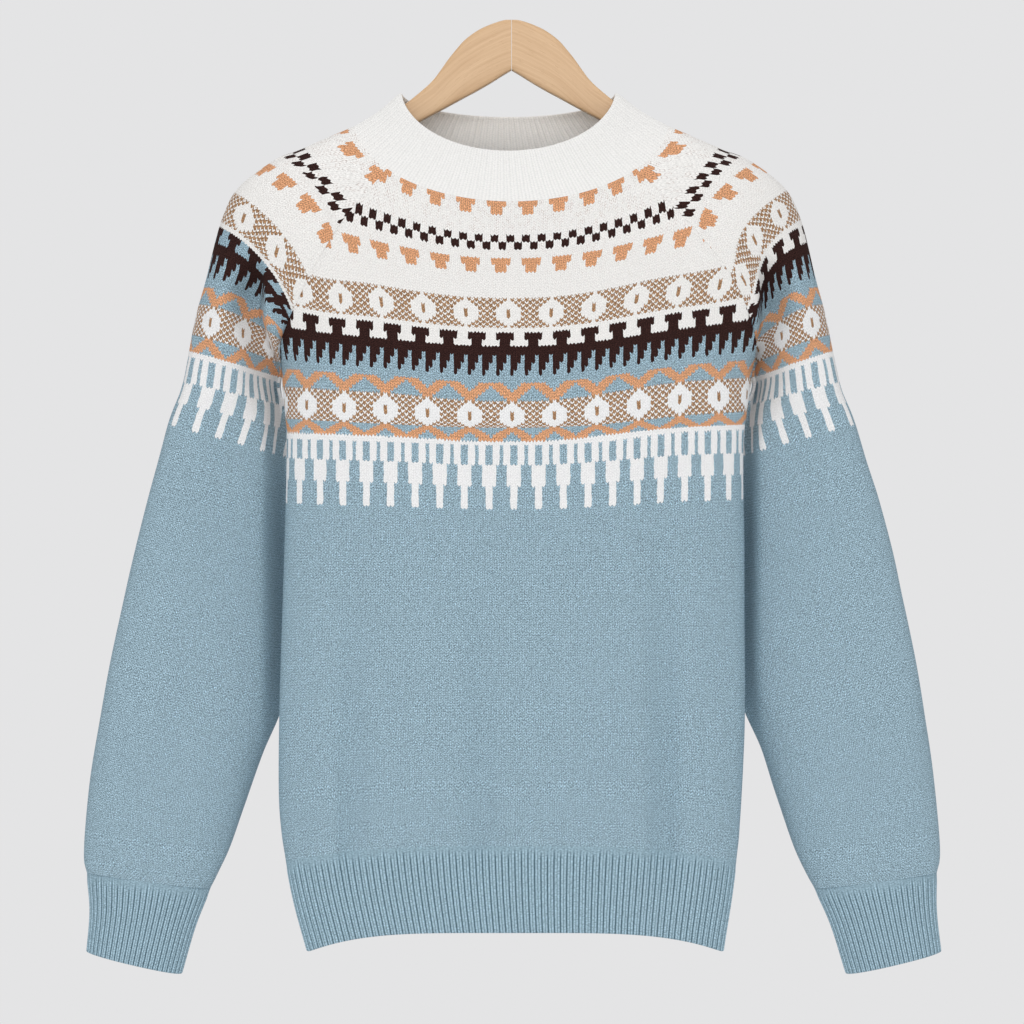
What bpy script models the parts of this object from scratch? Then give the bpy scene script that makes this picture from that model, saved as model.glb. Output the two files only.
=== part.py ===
"""A fair isle jumper hanging on a two-part wooden hanger.

The jumper is knitted in panels: front, back and two raglan sleeves, with a ribbed mock neck,
hem and cuffs. Each panel is a thin wall worked out from the tables below, which hold the
sizes of the right-hand half. The front faces -Y, +Z is up, and the origin is the top of
the hanger's crown.
Tables and constants are in millimetres, angles in radians.
"""

import math

import bmesh
import bpy
import numpy as np

MM = 0.001
DOWN = np.array([0.0, 0.0, -1.0])

# Cloth walls
WALL = 2.0
RIB_WALL = 1.8
RIB_CREST = 0.7
RIB_GROOVE = -0.5
COLLAR_WALL = 2.4
SHARP_FROM = math.radians(50)

# The space left at a seam, and how many times as wide it is by the underarm, where four seams meet
SEAM_GAP = 0.34
UNDERARM_EASE = 1.8
EASE_ROWS = (4, 6)
HEM_GAP = 0.5

# How finely each wall is divided
PANEL_COLUMNS = 24
SLEEVE_COLUMNS = 24
RIBS_ON_A_HEM = 66
RIBS_ON_A_CUFF = 36
RIBS_ON_THE_COLLAR = 128
COLUMNS_A_RIB = 2
RIB_TO_INNER = 4

# The neck: two tilted ellipses, the rim of the collar and the seam round its foot
NECK_SEAM = dict(half_width=125.6, front=62.0, back=50.0, side_z=-84.8, front_drop=65.1, back_drop=27.2)
NECK_RIM = dict(half_width=87.0, front=48.0, back=46.0, side_z=-58.0, front_drop=51.2, back_drop=15.5)
NECK_RIM_SHIFT = -2.5
SHOULDER_ROUND = 0.12
RAGLAN_TURN = math.radians(51.6)

# The way the yoke leaves the neck seam: outwards and up, as shares of the drop, over the shoulder
YOKE_SPREAD = 0.92
YOKE_LIFT = 0.6

# The collar's rows from the seam up to the rolled rim, and how hollow the band stands between
COLLAR = dict(share=(0, 0.35, 0.7, 0.94, 1.0), rib_height=(0.5, 1, 1, 0.8, 0.3))
COLLAR_HOLLOW = 2.0
RIM_ROLL = 0.5

# How high the ribs stand on the rows of a hem rib or a cuff
LENGTH_RIB_HEIGHT = (0.4, 1, 1)


def table(columns, *rows):
    """The rows' values under their columns' names."""
    values = np.array(rows, float).T
    return dict(zip(columns.split(), values))


def ring(turn, half_width, front, back, side_z, front_drop, back_drop):
    """Points round a neck ellipse; turn is 0 at the front and a quarter turn at the right side.

    Each half falls away in its own plane, rounded where they meet over the shoulder.
    """
    turn = np.asarray(turn, float)
    to_front = np.cos(turn)
    ahead = to_front > 0
    fall = np.hypot(to_front, SHOULDER_ROUND) - SHOULDER_ROUND
    fall /= math.hypot(1, SHOULDER_ROUND) - SHOULDER_ROUND
    x = half_width * np.sin(turn)
    y = -np.where(ahead, front, back) * to_front
    z = side_z - np.where(ahead, front_drop, back_drop) * fall
    return np.stack([x, y, z], axis=-1)


SEAM_START_X, SEAM_START_Y, SEAM_START_Z = ring(RAGLAN_TURN, **NECK_SEAM)
_, BACK_START_Y, BACK_START_Z = ring(math.pi - RAGLAN_TURN, **NECK_SEAM)

# The raglan seams, from the neck down to the underarm, and the panels' middles level with them.
# reach is how far round its section a course goes: 1 is to where it faces the side.
YOKE = table(
    "seam_x front_y front_z back_y back_z reach round mid_front_y mid_front_z mid_back_y mid_back_z",
    (SEAM_START_X, SEAM_START_Y, SEAM_START_Z, BACK_START_Y, BACK_START_Z, math.sin(RAGLAN_TURN),
     2.0, -62.0, -149.9, 50.0, -112.0),
    (130.4, -45.0, -160.4, 38.0, -139.0, 0.69, 2.1, -60.5, -181.9, 50.5, -147.0),
    (143.0, -46.0, -179.3, 39.0, -159.0, 0.68, 2.2, -59.5, -200.6, 51.0, -168.0),
    (158.0, -44.0, -205.2, 38.5, -187.0, 0.72, 2.3, -58.0, -226.0, 51.0, -196.0),
    (172.7, -36.0, -233.9, 33.5, -219.0, 0.84, 2.35, -57.0, -252.3, 51.0, -226.0),
    (179.3, -27.0, -248.0, 27.0, -238.0, 0.925, 2.4, -56.5, -263.0, 50.5, -243.0),
    (184.3, -14.0, -262.0, 19.0, -259.0, 0.985, 2.4, -56.0, -275.4, 50.3, -262.0),
    (184.0, 9.0, -283.7, 9.0, -283.7, 1.00, 2.4, -55.0, -292.3, 50.0, -282.0),
)
UNDERARM = len(YOKE["seam_x"]) - 1
YOKE_ROWS = np.array([0, 0.5, 1, 2, 2.5, 3, 4, 5, 6, UNDERARM], float)
UNDERARM_NORMAL = np.array([0.35, 0.0, -0.94]) / math.hypot(0.35, 0.94)

# The body below the underarm, down to its hem rib, then the rib down to the edge
SEAM_BEND = 10
YOKE_DROOP = 2.2
TORSO = table(
    "side_x side_y side_z mid_front_y mid_front_z mid_back_y mid_back_z round droop",
    (184.0, 9.0, -283.7, -55.0, -292.3, 50.0, -282.0, 2.4, 2.2),
    (183.2, 6.0, -298.0, -54.8, -306.5, 50.0, -297.0, 2.4, 2.2),
    (181.2, 2.5, -316.0, -54.5, -323.5, 50.0, -315.0, 2.4, 2.2),
    (179.8, 0.0, -334.0, -54.0, -338.5, 50.0, -334.0, 2.4, 2.2),
    (180.6, 0.0, -387.2, -53.0, -390.8, 49.5, -388.0, 2.4, 2.2),
    (183.0, 0.0, -464.0, -51.0, -462.8, 48.0, -463.0, 2.4, 2.4),
    (185.6, 0.0, -548.0, -48.5, -541.6, 46.0, -542.0, 2.4, 2.6),
    (186.2, 0.0, -615.2, -46.0, -604.7, 44.0, -606.0, 2.35, 2.8),
    (184.2, 0.0, -648.0, -44.8, -636.4, 42.8, -638.0, 2.3, 2.9),
    (180.6, 0.0, -672.0, -42.5, -657.1, 41.0, -658.0, 2.3, 3.0),
)
HEM = table(
    "side_x side_y side_z mid_front_y mid_front_z mid_back_y mid_back_z round droop",
    (180.6, 0.0, -672.0, -42.5, -657.1, 41.0, -658.0, 2.3, 3.0),
    (174.4, 0.0, -706.0, -39.5, -691.2, 38.5, -692.0, 2.3, 3.5),
    (165.5, 0.0, -744.0, -36.5, -725.7, 36.0, -727.0, 2.3, 4.0),
)

# The sleeve's courses over the shoulder: the ridge that each one crosses, how far it arches from
# the seam over the ridge (1 is a full arch, 0 straight), how far its front and back swell
# beyond that, and how far it bows to the neck
CAP = table(
    "ridge_x ridge_y ridge_z arch front_swell back_swell bow",
    (NECK_SEAM["half_width"], 0.0, NECK_SEAM["side_z"], 1.0, 0.0, 0.0, -7.0),
    (168.4, 0.0, -103.6, 1.0, 2.0, 2.0, 1.0),
    (190.0, 0.5, -112.4, 1.0, 3.0, 3.0, 7.0),
    (219.6, 1.0, -135.2, 1.0, 4.0, 4.0, 7.5),
    (233.8, 2.0, -163.2, 1.0, 6.0, 8.0, 9.0),
    (245.4, 3.0, -206.6, 0.8, 14.0, 17.0, 9.5),
    (253.6, 4.0, -236.0, 0.4, 25.0, 28.0, 3.0),
    (258.6, 5.0, -263.0, 0.0, 32.0, 36.0, 0.0),
)
# The sleeve below the underarm, then its cuff: outer and inner edge, and how deep its front and
# back stand off the straight line between them
ARM = table(
    "outer_x outer_y outer_z inner_x inner_y inner_z front_swell back_swell",
    (258.6, 5.0, -263.0, 184.0, 9.0, -283.7, 32.0, 36.0),
    (260.2, 5.5, -272.0, 187.0, 22.0, -292.0, 33.5, 33.0),
    (265.5, 6.0, -295.0, 182.5, 32.0, -313.0, 33.5, 31.0),
    (277.0, 7.0, -323.7, 174.0, 36.5, -352.0, 33.0, 30.0),
    (290.6, 8.0, -376.7, 171.0, 37.0, -407.0, 33.0, 30.0),
    (306.4, 10.0, -439.5, 172.5, 36.5, -473.0, 33.0, 31.0),
    (322.5, 12.0, -509.5, 183.0, 32.0, -543.0, 33.0, 32.0),
    (332.4, 14.0, -562.6, 201.4, 27.0, -589.8, 32.0, 32.0),
    (339.6, 15.0, -605.4, 216.1, 23.0, -631.5, 31.0, 31.0),
    (343.9, 15.5, -647.3, 227.7, 20.0, -664.5, 28.0, 28.0),
    (344.7, 15.5, -670.6, 237.7, 18.0, -686.1, 25.5, 25.5),
    (342.1, 15.0, -682.6, 242.8, 16.0, -695.6, 22.5, 22.5),
)
CUFF = table(
    "outer_x outer_y outer_z inner_x inner_y inner_z front_swell back_swell",
    (342.1, 15.0, -682.6, 242.8, 16.0, -695.6, 22.5, 22.5),
    (341.0, 14.5, -714.0, 255.5, 15.0, -726.1, 21.0, 21.0),
    (342.6, 14.0, -745.9, 265.6, 14.0, -763.8, 20.0, 20.0),
)
SLEEVE_ROUND = 2.2

# Soft upright troughs in the front and back: where they run, and how deep and wide they are
FRONT_TROUGHS = table(
    "x half_width depth top_z foot_z",
    (-128.0, 13.0, 2.4, -430.0, -672.0),
    (-26.0, 15.0, 1.6, -470.0, -672.0),
    (133.0, 15.0, 3.4, -400.0, -672.0),
)
BACK_TROUGHS = table(
    "x half_width depth top_z foot_z",
    (-96.0, 16.0, 2.6, -400.0, -672.0),
    (30.0, 14.0, 1.8, -450.0, -672.0),
    (141.0, 13.0, 2.4, -430.0, -672.0),
)

# The hanger: each half's top and bottom edge from the mitre outwards, and its depth
ARM_DEPTH = 12.0
TIP_DEPTHS = (5.3, 3.6)
ARM_ROUND = 5.0
ARM_SIDES = 16
HANGER = table(
    "x top_z bottom_z",
    (0.0, 0.0, -40.4),
    (6.0, -0.3, -43.8),
    (16.0, -3.4, -50.1),
    (26.8, -8.4, -56.4),
    (37.2, -16.0, -62.0),
    (44.4, -24.0, -65.9),
    (50.8, -32.0, -69.4),
    (56.4, -40.0, -72.4),
    (62.8, -48.4, -75.8),
    (72.0, -57.0, -80.7),
    (88.0, -69.6, -89.3),
    (108.0, -82.0, -101.2),
    (126.0, -90.8, -110.4),
    (147.0, -98.9, -118.8),
    (168.4, -107.2, -127.0),
    (188.0, -115.6, -133.6),
    (199.0, -122.0, -136.4),
    (206.0, -128.0, -136.0),
    (209.0, -131.6, -134.2),
)

IVORY = (0.86, 0.84, 0.80, 1.0)
BLUE = (0.27, 0.42, 0.51, 1.0)
WOOD = (0.72, 0.49, 0.27, 1.0)


def smooth(values, at):
    """A table column at the row numbers in `at`, which may fall between rows, as a cubic."""
    values = np.asarray(values, float)
    at = np.asarray(at, float)
    tangent = np.gradient(values)
    row = np.clip(np.floor(at).astype(int), 0, len(values) - 2)
    t = at - row
    start, end = values[row], values[row + 1]
    return (
        (1 + 2 * t) * (1 - t) ** 2 * start
        + t * (1 - t) ** 2 * tangent[row]
        + t * t * (3 - 2 * t) * end
        - t * t * (1 - t) * tangent[row + 1]
    )


def unit(vectors):
    return vectors / np.linalg.norm(vectors, axis=-1, keepdims=True)


def run_along(points, closed=False):
    """The direction along a row of points."""
    if closed:
        return unit(np.roll(points, -1, axis=0) - np.roll(points, 1, axis=0))
    return unit(np.gradient(points, axis=0))


def grid_normals(grid):
    """Outward normals of a grid whose columns run anticlockwise from above and rows run down."""
    along = np.gradient(grid, axis=1)
    down = np.gradient(grid, axis=0)
    return unit(np.cross(down, along))


def arc_height(across, roundness):
    """How far forward a rounded section stands at each share of its width, 1 at the middle."""
    return (1 - np.abs(across) ** roundness) ** (1 / roundness)


def pressed_in(grid, troughs, face):
    """The grid with its troughs pressed in, each a soft bell across that fades in from its top."""
    x, z = grid[..., 0], grid[..., 2]
    for centre, half_width, depth, top, foot in zip(*troughs.values()):
        bell = np.exp(-(((x - centre) / half_width) ** 2))
        down = np.clip((top - z) / (top - foot), 0, 1)
        grid[..., 1] -= face * depth * bell * np.sin(down * math.pi / 2) ** 2
    return grid


def course(side, middle, reach, roundness, droop, columns):
    """One course of the front or back, side to side; `side` is its right end.

    Its depth is a rounded arc cut off at `reach`, and only its last stretch bends to the seam.
    """
    across = course_shares(reach, columns)
    bend = side[1] - middle[0] * arc_height(reach, roundness)
    x = side[0] * across
    y = middle[0] * arc_height(reach * across, roundness) + bend * np.abs(across) ** SEAM_BEND
    z = middle[1] + (side[2] - middle[1]) * np.abs(across) ** droop
    return np.stack([x, y, z], axis=-1)


def course_shares(reach, columns):
    """Shares of a course's width at its columns, closer together where it turns to the side."""
    return np.sin(np.linspace(-1, 1, columns + 1) * math.asin(reach)) / reach


def even_steps(points, count):
    """A row of points spaced evenly again, `count` steps in all."""
    length = np.concatenate([[0], np.cumsum(np.linalg.norm(np.diff(points, axis=0), axis=1))])
    at = np.linspace(0, length[-1], count + 1)
    return np.stack([np.interp(at, length, points[:, axis]) for axis in range(3)], axis=-1)


def panel_yoke(face, rows, columns):
    """The yoke's courses, from the neck seam to the underarm. face is -1 in front and 1 behind."""
    name = "front" if face < 0 else "back"
    grid = []
    for row in rows:
        if row == 0:
            turn = np.arcsin(math.sin(RAGLAN_TURN) * course_shares(math.sin(RAGLAN_TURN), columns))
            grid.append(ring(turn if face < 0 else math.pi - turn, **NECK_SEAM))
            continue
        get = {key: smooth(values, row) for key, values in YOKE.items()}
        side = (get["seam_x"], get[name + "_y"], get[name + "_z"])
        middle = (get["mid_" + name + "_y"], get["mid_" + name + "_z"])
        grid.append(course(side, middle, min(get["reach"], 1.0), get["round"], YOKE_DROOP, columns))
    return np.array(grid)


def panel_length(lengths, face, rows, columns):
    """The courses of the torso or the hem rib, whose ends face the side."""
    name = "front" if face < 0 else "back"
    grid = []
    for row in rows:
        get = {key: smooth(values, row) for key, values in lengths.items()}
        side = (get["side_x"], get["side_y"], get["side_z"])
        middle = (get["mid_" + name + "_y"], get["mid_" + name + "_z"])
        grid.append(course(side, middle, 1.0, get["round"], get["droop"], columns))
    return np.array(grid)


def sleeve_section(front_edge, ridge, back_edge, swells, arch, bow, columns):
    """One course of a sleeve, from its front edge over the ridge to its back edge.

    In front view each half runs straight from edge to ridge, plus the bow; its depth falls
    from the edge's to the ridge's, arched or straight, and swells by a rounded bulge.
    """
    share = (1 - np.cos(math.pi * np.linspace(0, 1, columns // 2 + 1))) / 2
    halves = []
    for edge, swell in ((np.array(front_edge), -swells[0]), (np.array(back_edge), swells[1])):
        chord = np.array(ridge) - edge
        square = np.array([-chord[2], chord[0]]) / math.hypot(chord[0], chord[2])
        bump = bow * 4 * share * (1 - share)
        from_ridge = arch * arc_height(share, SLEEVE_ROUND) + (1 - arch) * (1 - share)
        x = edge[0] + chord[0] * share + square[0] * bump
        y = ridge[1] - chord[1] * from_ridge + swell * arc_height(2 * share - 1, SLEEVE_ROUND)
        z = edge[2] + chord[2] * share + square[1] * bump
        halves.append(np.stack([x, y, z], axis=-1))
    return np.concatenate([halves[0], halves[1][-2::-1]])


def neck_turns(columns):
    """The turns round the neck ring at the sleeve's columns."""
    share = (1 - np.cos(math.pi * np.linspace(0, 1, columns // 2 + 1))) / 2
    start = math.sin(RAGLAN_TURN)
    front = np.arcsin(start + (1 - start) * share)
    return np.concatenate([front, math.pi - front[-2::-1]])


def sleeve_cap(rows, columns):
    grid = []
    for row in rows:
        if row == 0:
            grid.append(ring(neck_turns(columns), **NECK_SEAM))
            continue
        seam = {key: smooth(values, row) for key, values in YOKE.items()}
        cap = {key: smooth(values, row) for key, values in CAP.items()}
        grid.append(
            sleeve_section(
                (seam["seam_x"], seam["front_y"], seam["front_z"]),
                (cap["ridge_x"], cap["ridge_y"], cap["ridge_z"]),
                (seam["seam_x"], seam["back_y"], seam["back_z"]),
                (cap["front_swell"], cap["back_swell"]),
                cap["arch"],
                cap["bow"],
                columns,
            )
        )
    return np.array(grid)


def sleeve_tube(lengths, rows, columns):
    grid = []
    for row in rows:
        get = {key: smooth(values, row) for key, values in lengths.items()}
        inner = (get["inner_x"], get["inner_y"], get["inner_z"])
        outer = (get["outer_x"], get["outer_y"], get["outer_z"])
        swells = (get["front_swell"], get["back_swell"])
        grid.append(sleeve_section(inner, outer, inner, swells, 0.0, 0.0, columns))
    return np.array(grid)


def neck_frame(turn):
    """At each turn of the neck seam: its point, its outward normal and its way down the cloth."""
    point = ring(turn, **NECK_SEAM)
    step = 0.01
    run = unit(ring(turn + step, **NECK_SEAM) - ring(turn - step, **NECK_SEAM))
    to_side = np.sin(turn)
    spread = YOKE_SPREAD * to_side * abs(to_side)
    yoke_way = np.stack([spread, 0 * turn, YOKE_LIFT * to_side**2 - 1], axis=-1)
    collar_way = point - ring(turn, **NECK_RIM)
    way = unit(unit(yoke_way) + unit(collar_way))
    normal = unit(np.cross(way, run))
    return point, normal, unit(np.cross(run, normal))


def edge_normals(points, way):
    """The outward normals of a closed edge that the cloth crosses along `way`, its first one repeated."""
    normals = unit(np.cross(way, run_along(points[:-1], closed=True)))
    return np.concatenate([normals, normals[:1]])


def wall_faces(outer_ids, inner_ids, closed_from):
    """Faces of a wall between two grids of vertex numbers, whose edges are joined by rims.

    From the row closed_from down, the first and last columns are one, and have no rim.
    """
    faces = []
    for ids, outwards in ((outer_ids, True), (inner_ids, False)):
        quads = np.stack([ids[:-1, :-1], ids[1:, :-1], ids[1:, 1:], ids[:-1, 1:]], axis=-1)
        quads = quads.reshape(-1, 4)
        faces += (quads if outwards else quads[:, ::-1]).tolist()
    ratio = (outer_ids.shape[1] - 1) // (inner_ids.shape[1] - 1)
    for row in (0, -1):
        for j in range(inner_ids.shape[1] - 1):
            lip = outer_ids[row, j * ratio : (j + 1) * ratio + 1].tolist()
            face = lip + [int(inner_ids[row, j + 1]), int(inner_ids[row, j])]
            faces.append(face if row == 0 else face[::-1])
    for i in range(min(closed_from, outer_ids.shape[0] - 1)):
        for column in (0, -1):
            top, foot = int(outer_ids[i, column]), int(outer_ids[i + 1, column])
            top_in, foot_in = int(inner_ids[i, column]), int(inner_ids[i + 1, column])
            for face in ([top, top_in, foot_in], [top, foot_in, foot]):
                faces.append(face if column == 0 else face[::-1])
    return faces


def wall(name, outer, inner, colour, closed_from=10**6, mirrored=False):
    """A closed thin wall between an outer and an inner grid of points, as an object."""
    outer_ids = np.arange(outer.shape[0] * outer.shape[1]).reshape(outer.shape[:2])
    inner_ids = outer.shape[0] * outer.shape[1] + np.arange(inner.shape[0] * inner.shape[1])
    inner_ids = inner_ids.reshape(inner.shape[:2])
    outer_ids[closed_from:, -1] = outer_ids[closed_from:, 0]
    inner_ids[closed_from:, -1] = inner_ids[closed_from:, 0]
    points = np.concatenate([outer.reshape(-1, 3), inner.reshape(-1, 3)])
    if mirrored:
        points = points * (-1, 1, 1)
    return solid(name, points, wall_faces(outer_ids, inner_ids, closed_from), colour)


def solid(name, points, faces, colour):
    """A mesh object from points in millimetres, with loose points dropped and faces turned out."""
    mesh = bpy.data.meshes.new(name)
    mesh.from_pydata((points * MM).tolist(), [], faces)
    edit = bmesh.new()
    edit.from_mesh(mesh)
    loose = [vertex for vertex in edit.verts if not vertex.link_faces]
    bmesh.ops.delete(edit, geom=loose, context="VERTS")
    bmesh.ops.recalc_face_normals(edit, faces=edit.faces)
    edit.to_mesh(mesh)
    edit.free()
    mesh.shade_smooth()
    mesh.set_sharp_from_angle(angle=SHARP_FROM)
    mesh.materials.append(finish(name, colour))
    made = bpy.data.objects.new(name, mesh)
    bpy.context.scene.collection.objects.link(made)
    return made


def finish(name, colour):
    """A matt material for wool, or a smoother one for wood."""
    material = bpy.data.materials.new(name)
    material.use_nodes = True
    shader = material.node_tree.nodes["Principled BSDF"]
    shader.inputs["Base Color"].default_value = colour
    shader.inputs["Roughness"].default_value = 0.45 if colour == WOOD else 0.95
    shader.inputs["Metallic"].default_value = 0.0
    return material


def raglan_seams(yoke, cap):
    """For each raglan seam, the normals its panel and sleeve share, and its half gap towards the sleeve."""
    half_gap = SEAM_GAP / 2 * np.interp(YOKE_ROWS, EASE_ROWS, (1, UNDERARM_EASE))
    cap_normals = grid_normals(cap)
    seams = {}
    for face, column in ((-1, 0), (1, -1)):
        panel_normals = -face * grid_normals(yoke[face])[:, -1]
        normals = unit(panel_normals + cap_normals[:, column])
        normals[-1] = UNDERARM_NORMAL
        to_sleeve = unit(np.cross(normals, run_along(cap[:, column]))) * -face
        seams[face] = (normals, to_sleeve * half_gap[:, None])
    return seams


def build_panels(yoke, seams):
    """The front and the back, each from the neck seam to its hem rib."""
    half = SEAM_GAP / 2
    last = len(YOKE_ROWS) - 1
    for face, name, troughs in ((-1, "front", FRONT_TROUGHS), (1, "back", BACK_TROUGHS)):
        torso = panel_length(TORSO, face, np.arange(1, len(TORSO["side_x"])), PANEL_COLUMNS)
        grid = pressed_in(np.concatenate([yoke[face], torso]), troughs, face)
        normals = -face * grid_normals(grid)
        turn = np.arcsin(grid[0, :, 0] / NECK_SEAM["half_width"])
        _, neck_normal, neck_way = neck_frame(turn if face < 0 else math.pi - turn)
        hem_normal = unit(np.cross(DOWN, run_along(grid[-1]))) * -face
        seam_normals, to_sleeve = seams[face]
        for column, sign in ((-1, 1), (0, -1)):
            flip = np.array([sign, 1, 1])
            normals[: last + 1, column] = seam_normals * flip
            normals[last + 1 :, column] = (sign, 0, 0)
            grid[: last + 1, column] -= to_sleeve * flip
            grid[last:, column] += (0, face * half, 0)
        normals[0] = neck_normal
        normals[-1, 1:-1] = hem_normal[1:-1]
        grid[0] += neck_way * half
        grid[-1] -= DOWN * HEM_GAP / 2
        wall(name, grid, grid - WALL * normals, BLUE)


def build_sleeves(cap, seams):
    """Both sleeves, open along the raglan seams and one tube from the underarm to the cuff."""
    tube = sleeve_tube(ARM, np.arange(1, len(ARM["outer_x"])), SLEEVE_COLUMNS)
    grid = np.concatenate([cap, tube])
    last = len(YOKE_ROWS) - 1
    closed = np.concatenate([grid[:, -2:-1], grid, grid[:, 1:2]], axis=1)
    normals = grid_normals(grid)
    normals[last + 1 :] = grid_normals(closed)[last + 1 :, 1:-1]
    underarm_way = unit(seams[-1][1][-1] * (1, 0, 1))
    for face, column in ((-1, 0), (1, -1)):
        seam_normals, to_sleeve = seams[face]
        normals[: last + 1, column] = seam_normals
        grid[:last, column] += to_sleeve[:last]
        grid[last, column] += underarm_way * SEAM_GAP
    _, neck_normal, neck_way = neck_frame(neck_turns(SLEEVE_COLUMNS))
    normals[0] = neck_normal
    grid[0] += neck_way * SEAM_GAP / 2
    cuff_way = sleeve_way(ARM, len(ARM["outer_x"]) - 1)
    normals[-1] = edge_normals(grid[-1], cuff_way)
    grid[-1] -= cuff_way * SEAM_GAP / 2
    for side, mirrored in (("right", False), ("left", True)):
        wall("sleeve_" + side, grid, grid - WALL * normals, BLUE, last, mirrored)


def sleeve_way(lengths, row):
    """The direction down the sleeve at one of its table's rows."""
    ends = []
    for at in (max(row - 1, 0), row):
        ends.append([(lengths["outer_" + axis][at] + lengths["inner_" + axis][at]) / 2 for axis in "xyz"])
    return unit(np.array(ends[1]) - np.array(ends[0]))


def ribbed_wall(name, base, normals, inner_wall, fade, colour, closed, mirrored=False):
    """A wall over evenly stepped rows, with a rib crest on every other column of its outer face.

    fade gives how high the ribs stand on each row, from 0 to 1.
    """
    ribs = np.where(np.arange(base.shape[1]) % COLUMNS_A_RIB == 0, RIB_GROOVE, RIB_CREST)
    outer = base + normals * (ribs[None, :, None] * np.array(fade)[:, None, None])
    inner = (base - inner_wall * normals)[:, ::RIB_TO_INNER]
    return wall(name, outer, inner, colour, 0 if closed else 10**6, mirrored)


def build_hem():
    """The front and back hem ribs."""
    count = RIBS_ON_A_HEM * COLUMNS_A_RIB
    for face, name in ((-1, "hem_rib_front"), (1, "hem_rib_back")):
        fine = panel_length(HEM, face, np.arange(len(HEM["side_x"])), 4 * count)
        grid = np.array([even_steps(row, count) for row in fine])
        normals = np.array([unit(np.cross(DOWN, run_along(row))) * -face for row in grid])
        normals[:, 0] = (-1, 0, 0)
        normals[:, -1] = (1, 0, 0)
        grid[:, [0, -1]] += (0, face * SEAM_GAP / 2, 0)
        grid[0] += DOWN * HEM_GAP / 2
        ribbed_wall(name, grid, normals, RIB_WALL, LENGTH_RIB_HEIGHT, BLUE, closed=False)


def build_cuffs():
    """Both cuffs, each a ribbed tube."""
    count = RIBS_ON_A_CUFF * COLUMNS_A_RIB
    fine = sleeve_tube(CUFF, np.arange(len(CUFF["outer_x"])), 4 * count)
    grid = np.array([even_steps(row, count) for row in fine])
    joint_way = sleeve_way(ARM, len(ARM["outer_x"]) - 1)
    ways = [joint_way] + [sleeve_way(CUFF, row) for row in range(1, len(grid))]
    normals = np.array([edge_normals(row, way) for row, way in zip(grid, ways)])
    grid[0] += joint_way * SEAM_GAP / 2
    for side, mirrored in (("right", False), ("left", True)):
        ribbed_wall("cuff_" + side, grid, normals, RIB_WALL, LENGTH_RIB_HEIGHT, BLUE, True, mirrored)


def build_collar():
    """The neck band: ribs run from the seam up to a rolled rim."""
    count = RIBS_ON_THE_COLLAR * COLUMNS_A_RIB
    turns = np.linspace(0, 2 * math.pi, 4 * count + 1)
    seam = ring(turns, **NECK_SEAM)
    length = np.concatenate([[0], np.cumsum(np.linalg.norm(np.diff(seam, axis=0), axis=1))])
    turns = np.interp(np.linspace(0, length[-1], count + 1), length, turns)
    seam, seam_normal, seam_way = neck_frame(turns)
    rim = ring(turns, **NECK_RIM) + (NECK_RIM_SHIFT, 0, 0)
    rows, normals = [], []
    for share in COLLAR["share"]:
        row = seam + (rim - seam) * share
        normal = edge_normals(row, unit(seam - rim)[:-1])
        rows.append(row - normal * COLLAR_HOLLOW * math.sin(math.pi * share))
        normals.append(normal)
    normals[0] = seam_normal
    rows[0] -= seam_way * SEAM_GAP / 2
    rows[-1] -= normals[-1] * RIM_ROLL
    rows, normals = np.array(rows), np.array(normals)
    ribbed_wall("collar", rows, normals, COLLAR_WALL, COLLAR["rib_height"], IVORY, closed=True)


def build_hanger():
    """Two wooden halves, each a rounded flat section carried along from the mitre to its tip."""
    turn = np.linspace(0, 2 * math.pi, ARM_SIDES + 1)[:-1] + math.pi / ARM_SIDES
    across = np.sign(np.cos(turn)) * abs(np.cos(turn)) ** (2 / ARM_ROUND)
    upright = np.sign(np.sin(turn)) * abs(np.sin(turn)) ** (2 / ARM_ROUND)
    middle = (HANGER["top_z"] + HANGER["bottom_z"]) / 2
    half_height = (HANGER["top_z"] - HANGER["bottom_z"]) / 2
    depth = np.full(len(middle), ARM_DEPTH / 2)
    depth[-2:] = TIP_DEPTHS
    x = HANGER["x"].copy()
    x[0] = SEAM_GAP / 2
    points = np.stack(
        [
            x[:, None] + 0 * turn,
            depth[:, None] * across,
            middle[:, None] + half_height[:, None] * upright,
        ],
        axis=-1,
    )
    rings, sides = points.shape[:2]
    ids = np.arange(rings * sides).reshape(rings, sides)
    after = np.roll(ids, -1, axis=1)
    faces = np.stack([ids[:-1], after[:-1], after[1:], ids[1:]], axis=-1).reshape(-1, 4).tolist()
    faces += [ids[0].tolist(), ids[-1][::-1].tolist()]
    for side, sign in (("right", 1), ("left", -1)):
        solid("hanger_arm_" + side, points.reshape(-1, 3) * (sign, 1, 1), faces, WOOD)


def main():
    for old in list(bpy.data.objects):
        bpy.data.objects.remove(old, do_unlink=True)
    yoke = {face: panel_yoke(face, YOKE_ROWS, PANEL_COLUMNS) for face in (-1, 1)}
    cap = sleeve_cap(YOKE_ROWS, SLEEVE_COLUMNS)
    seams = raglan_seams(yoke, cap)
    build_panels(yoke, seams)
    build_sleeves(cap, seams)
    build_hem()
    build_cuffs()
    build_collar()
    build_hanger()


main()
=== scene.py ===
"""A fair isle jumper on a wooden hanger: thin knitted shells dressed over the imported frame.

The tables are in millimetres and hold the right-hand half. The origin is the top of the
hanger's crown, +Z is up and the front faces -Y. A place on the cloth is also counted in
stitches: wales across, from a piece's middle, and rows down from the neck seam.
"""

import math
from functools import partial

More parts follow.
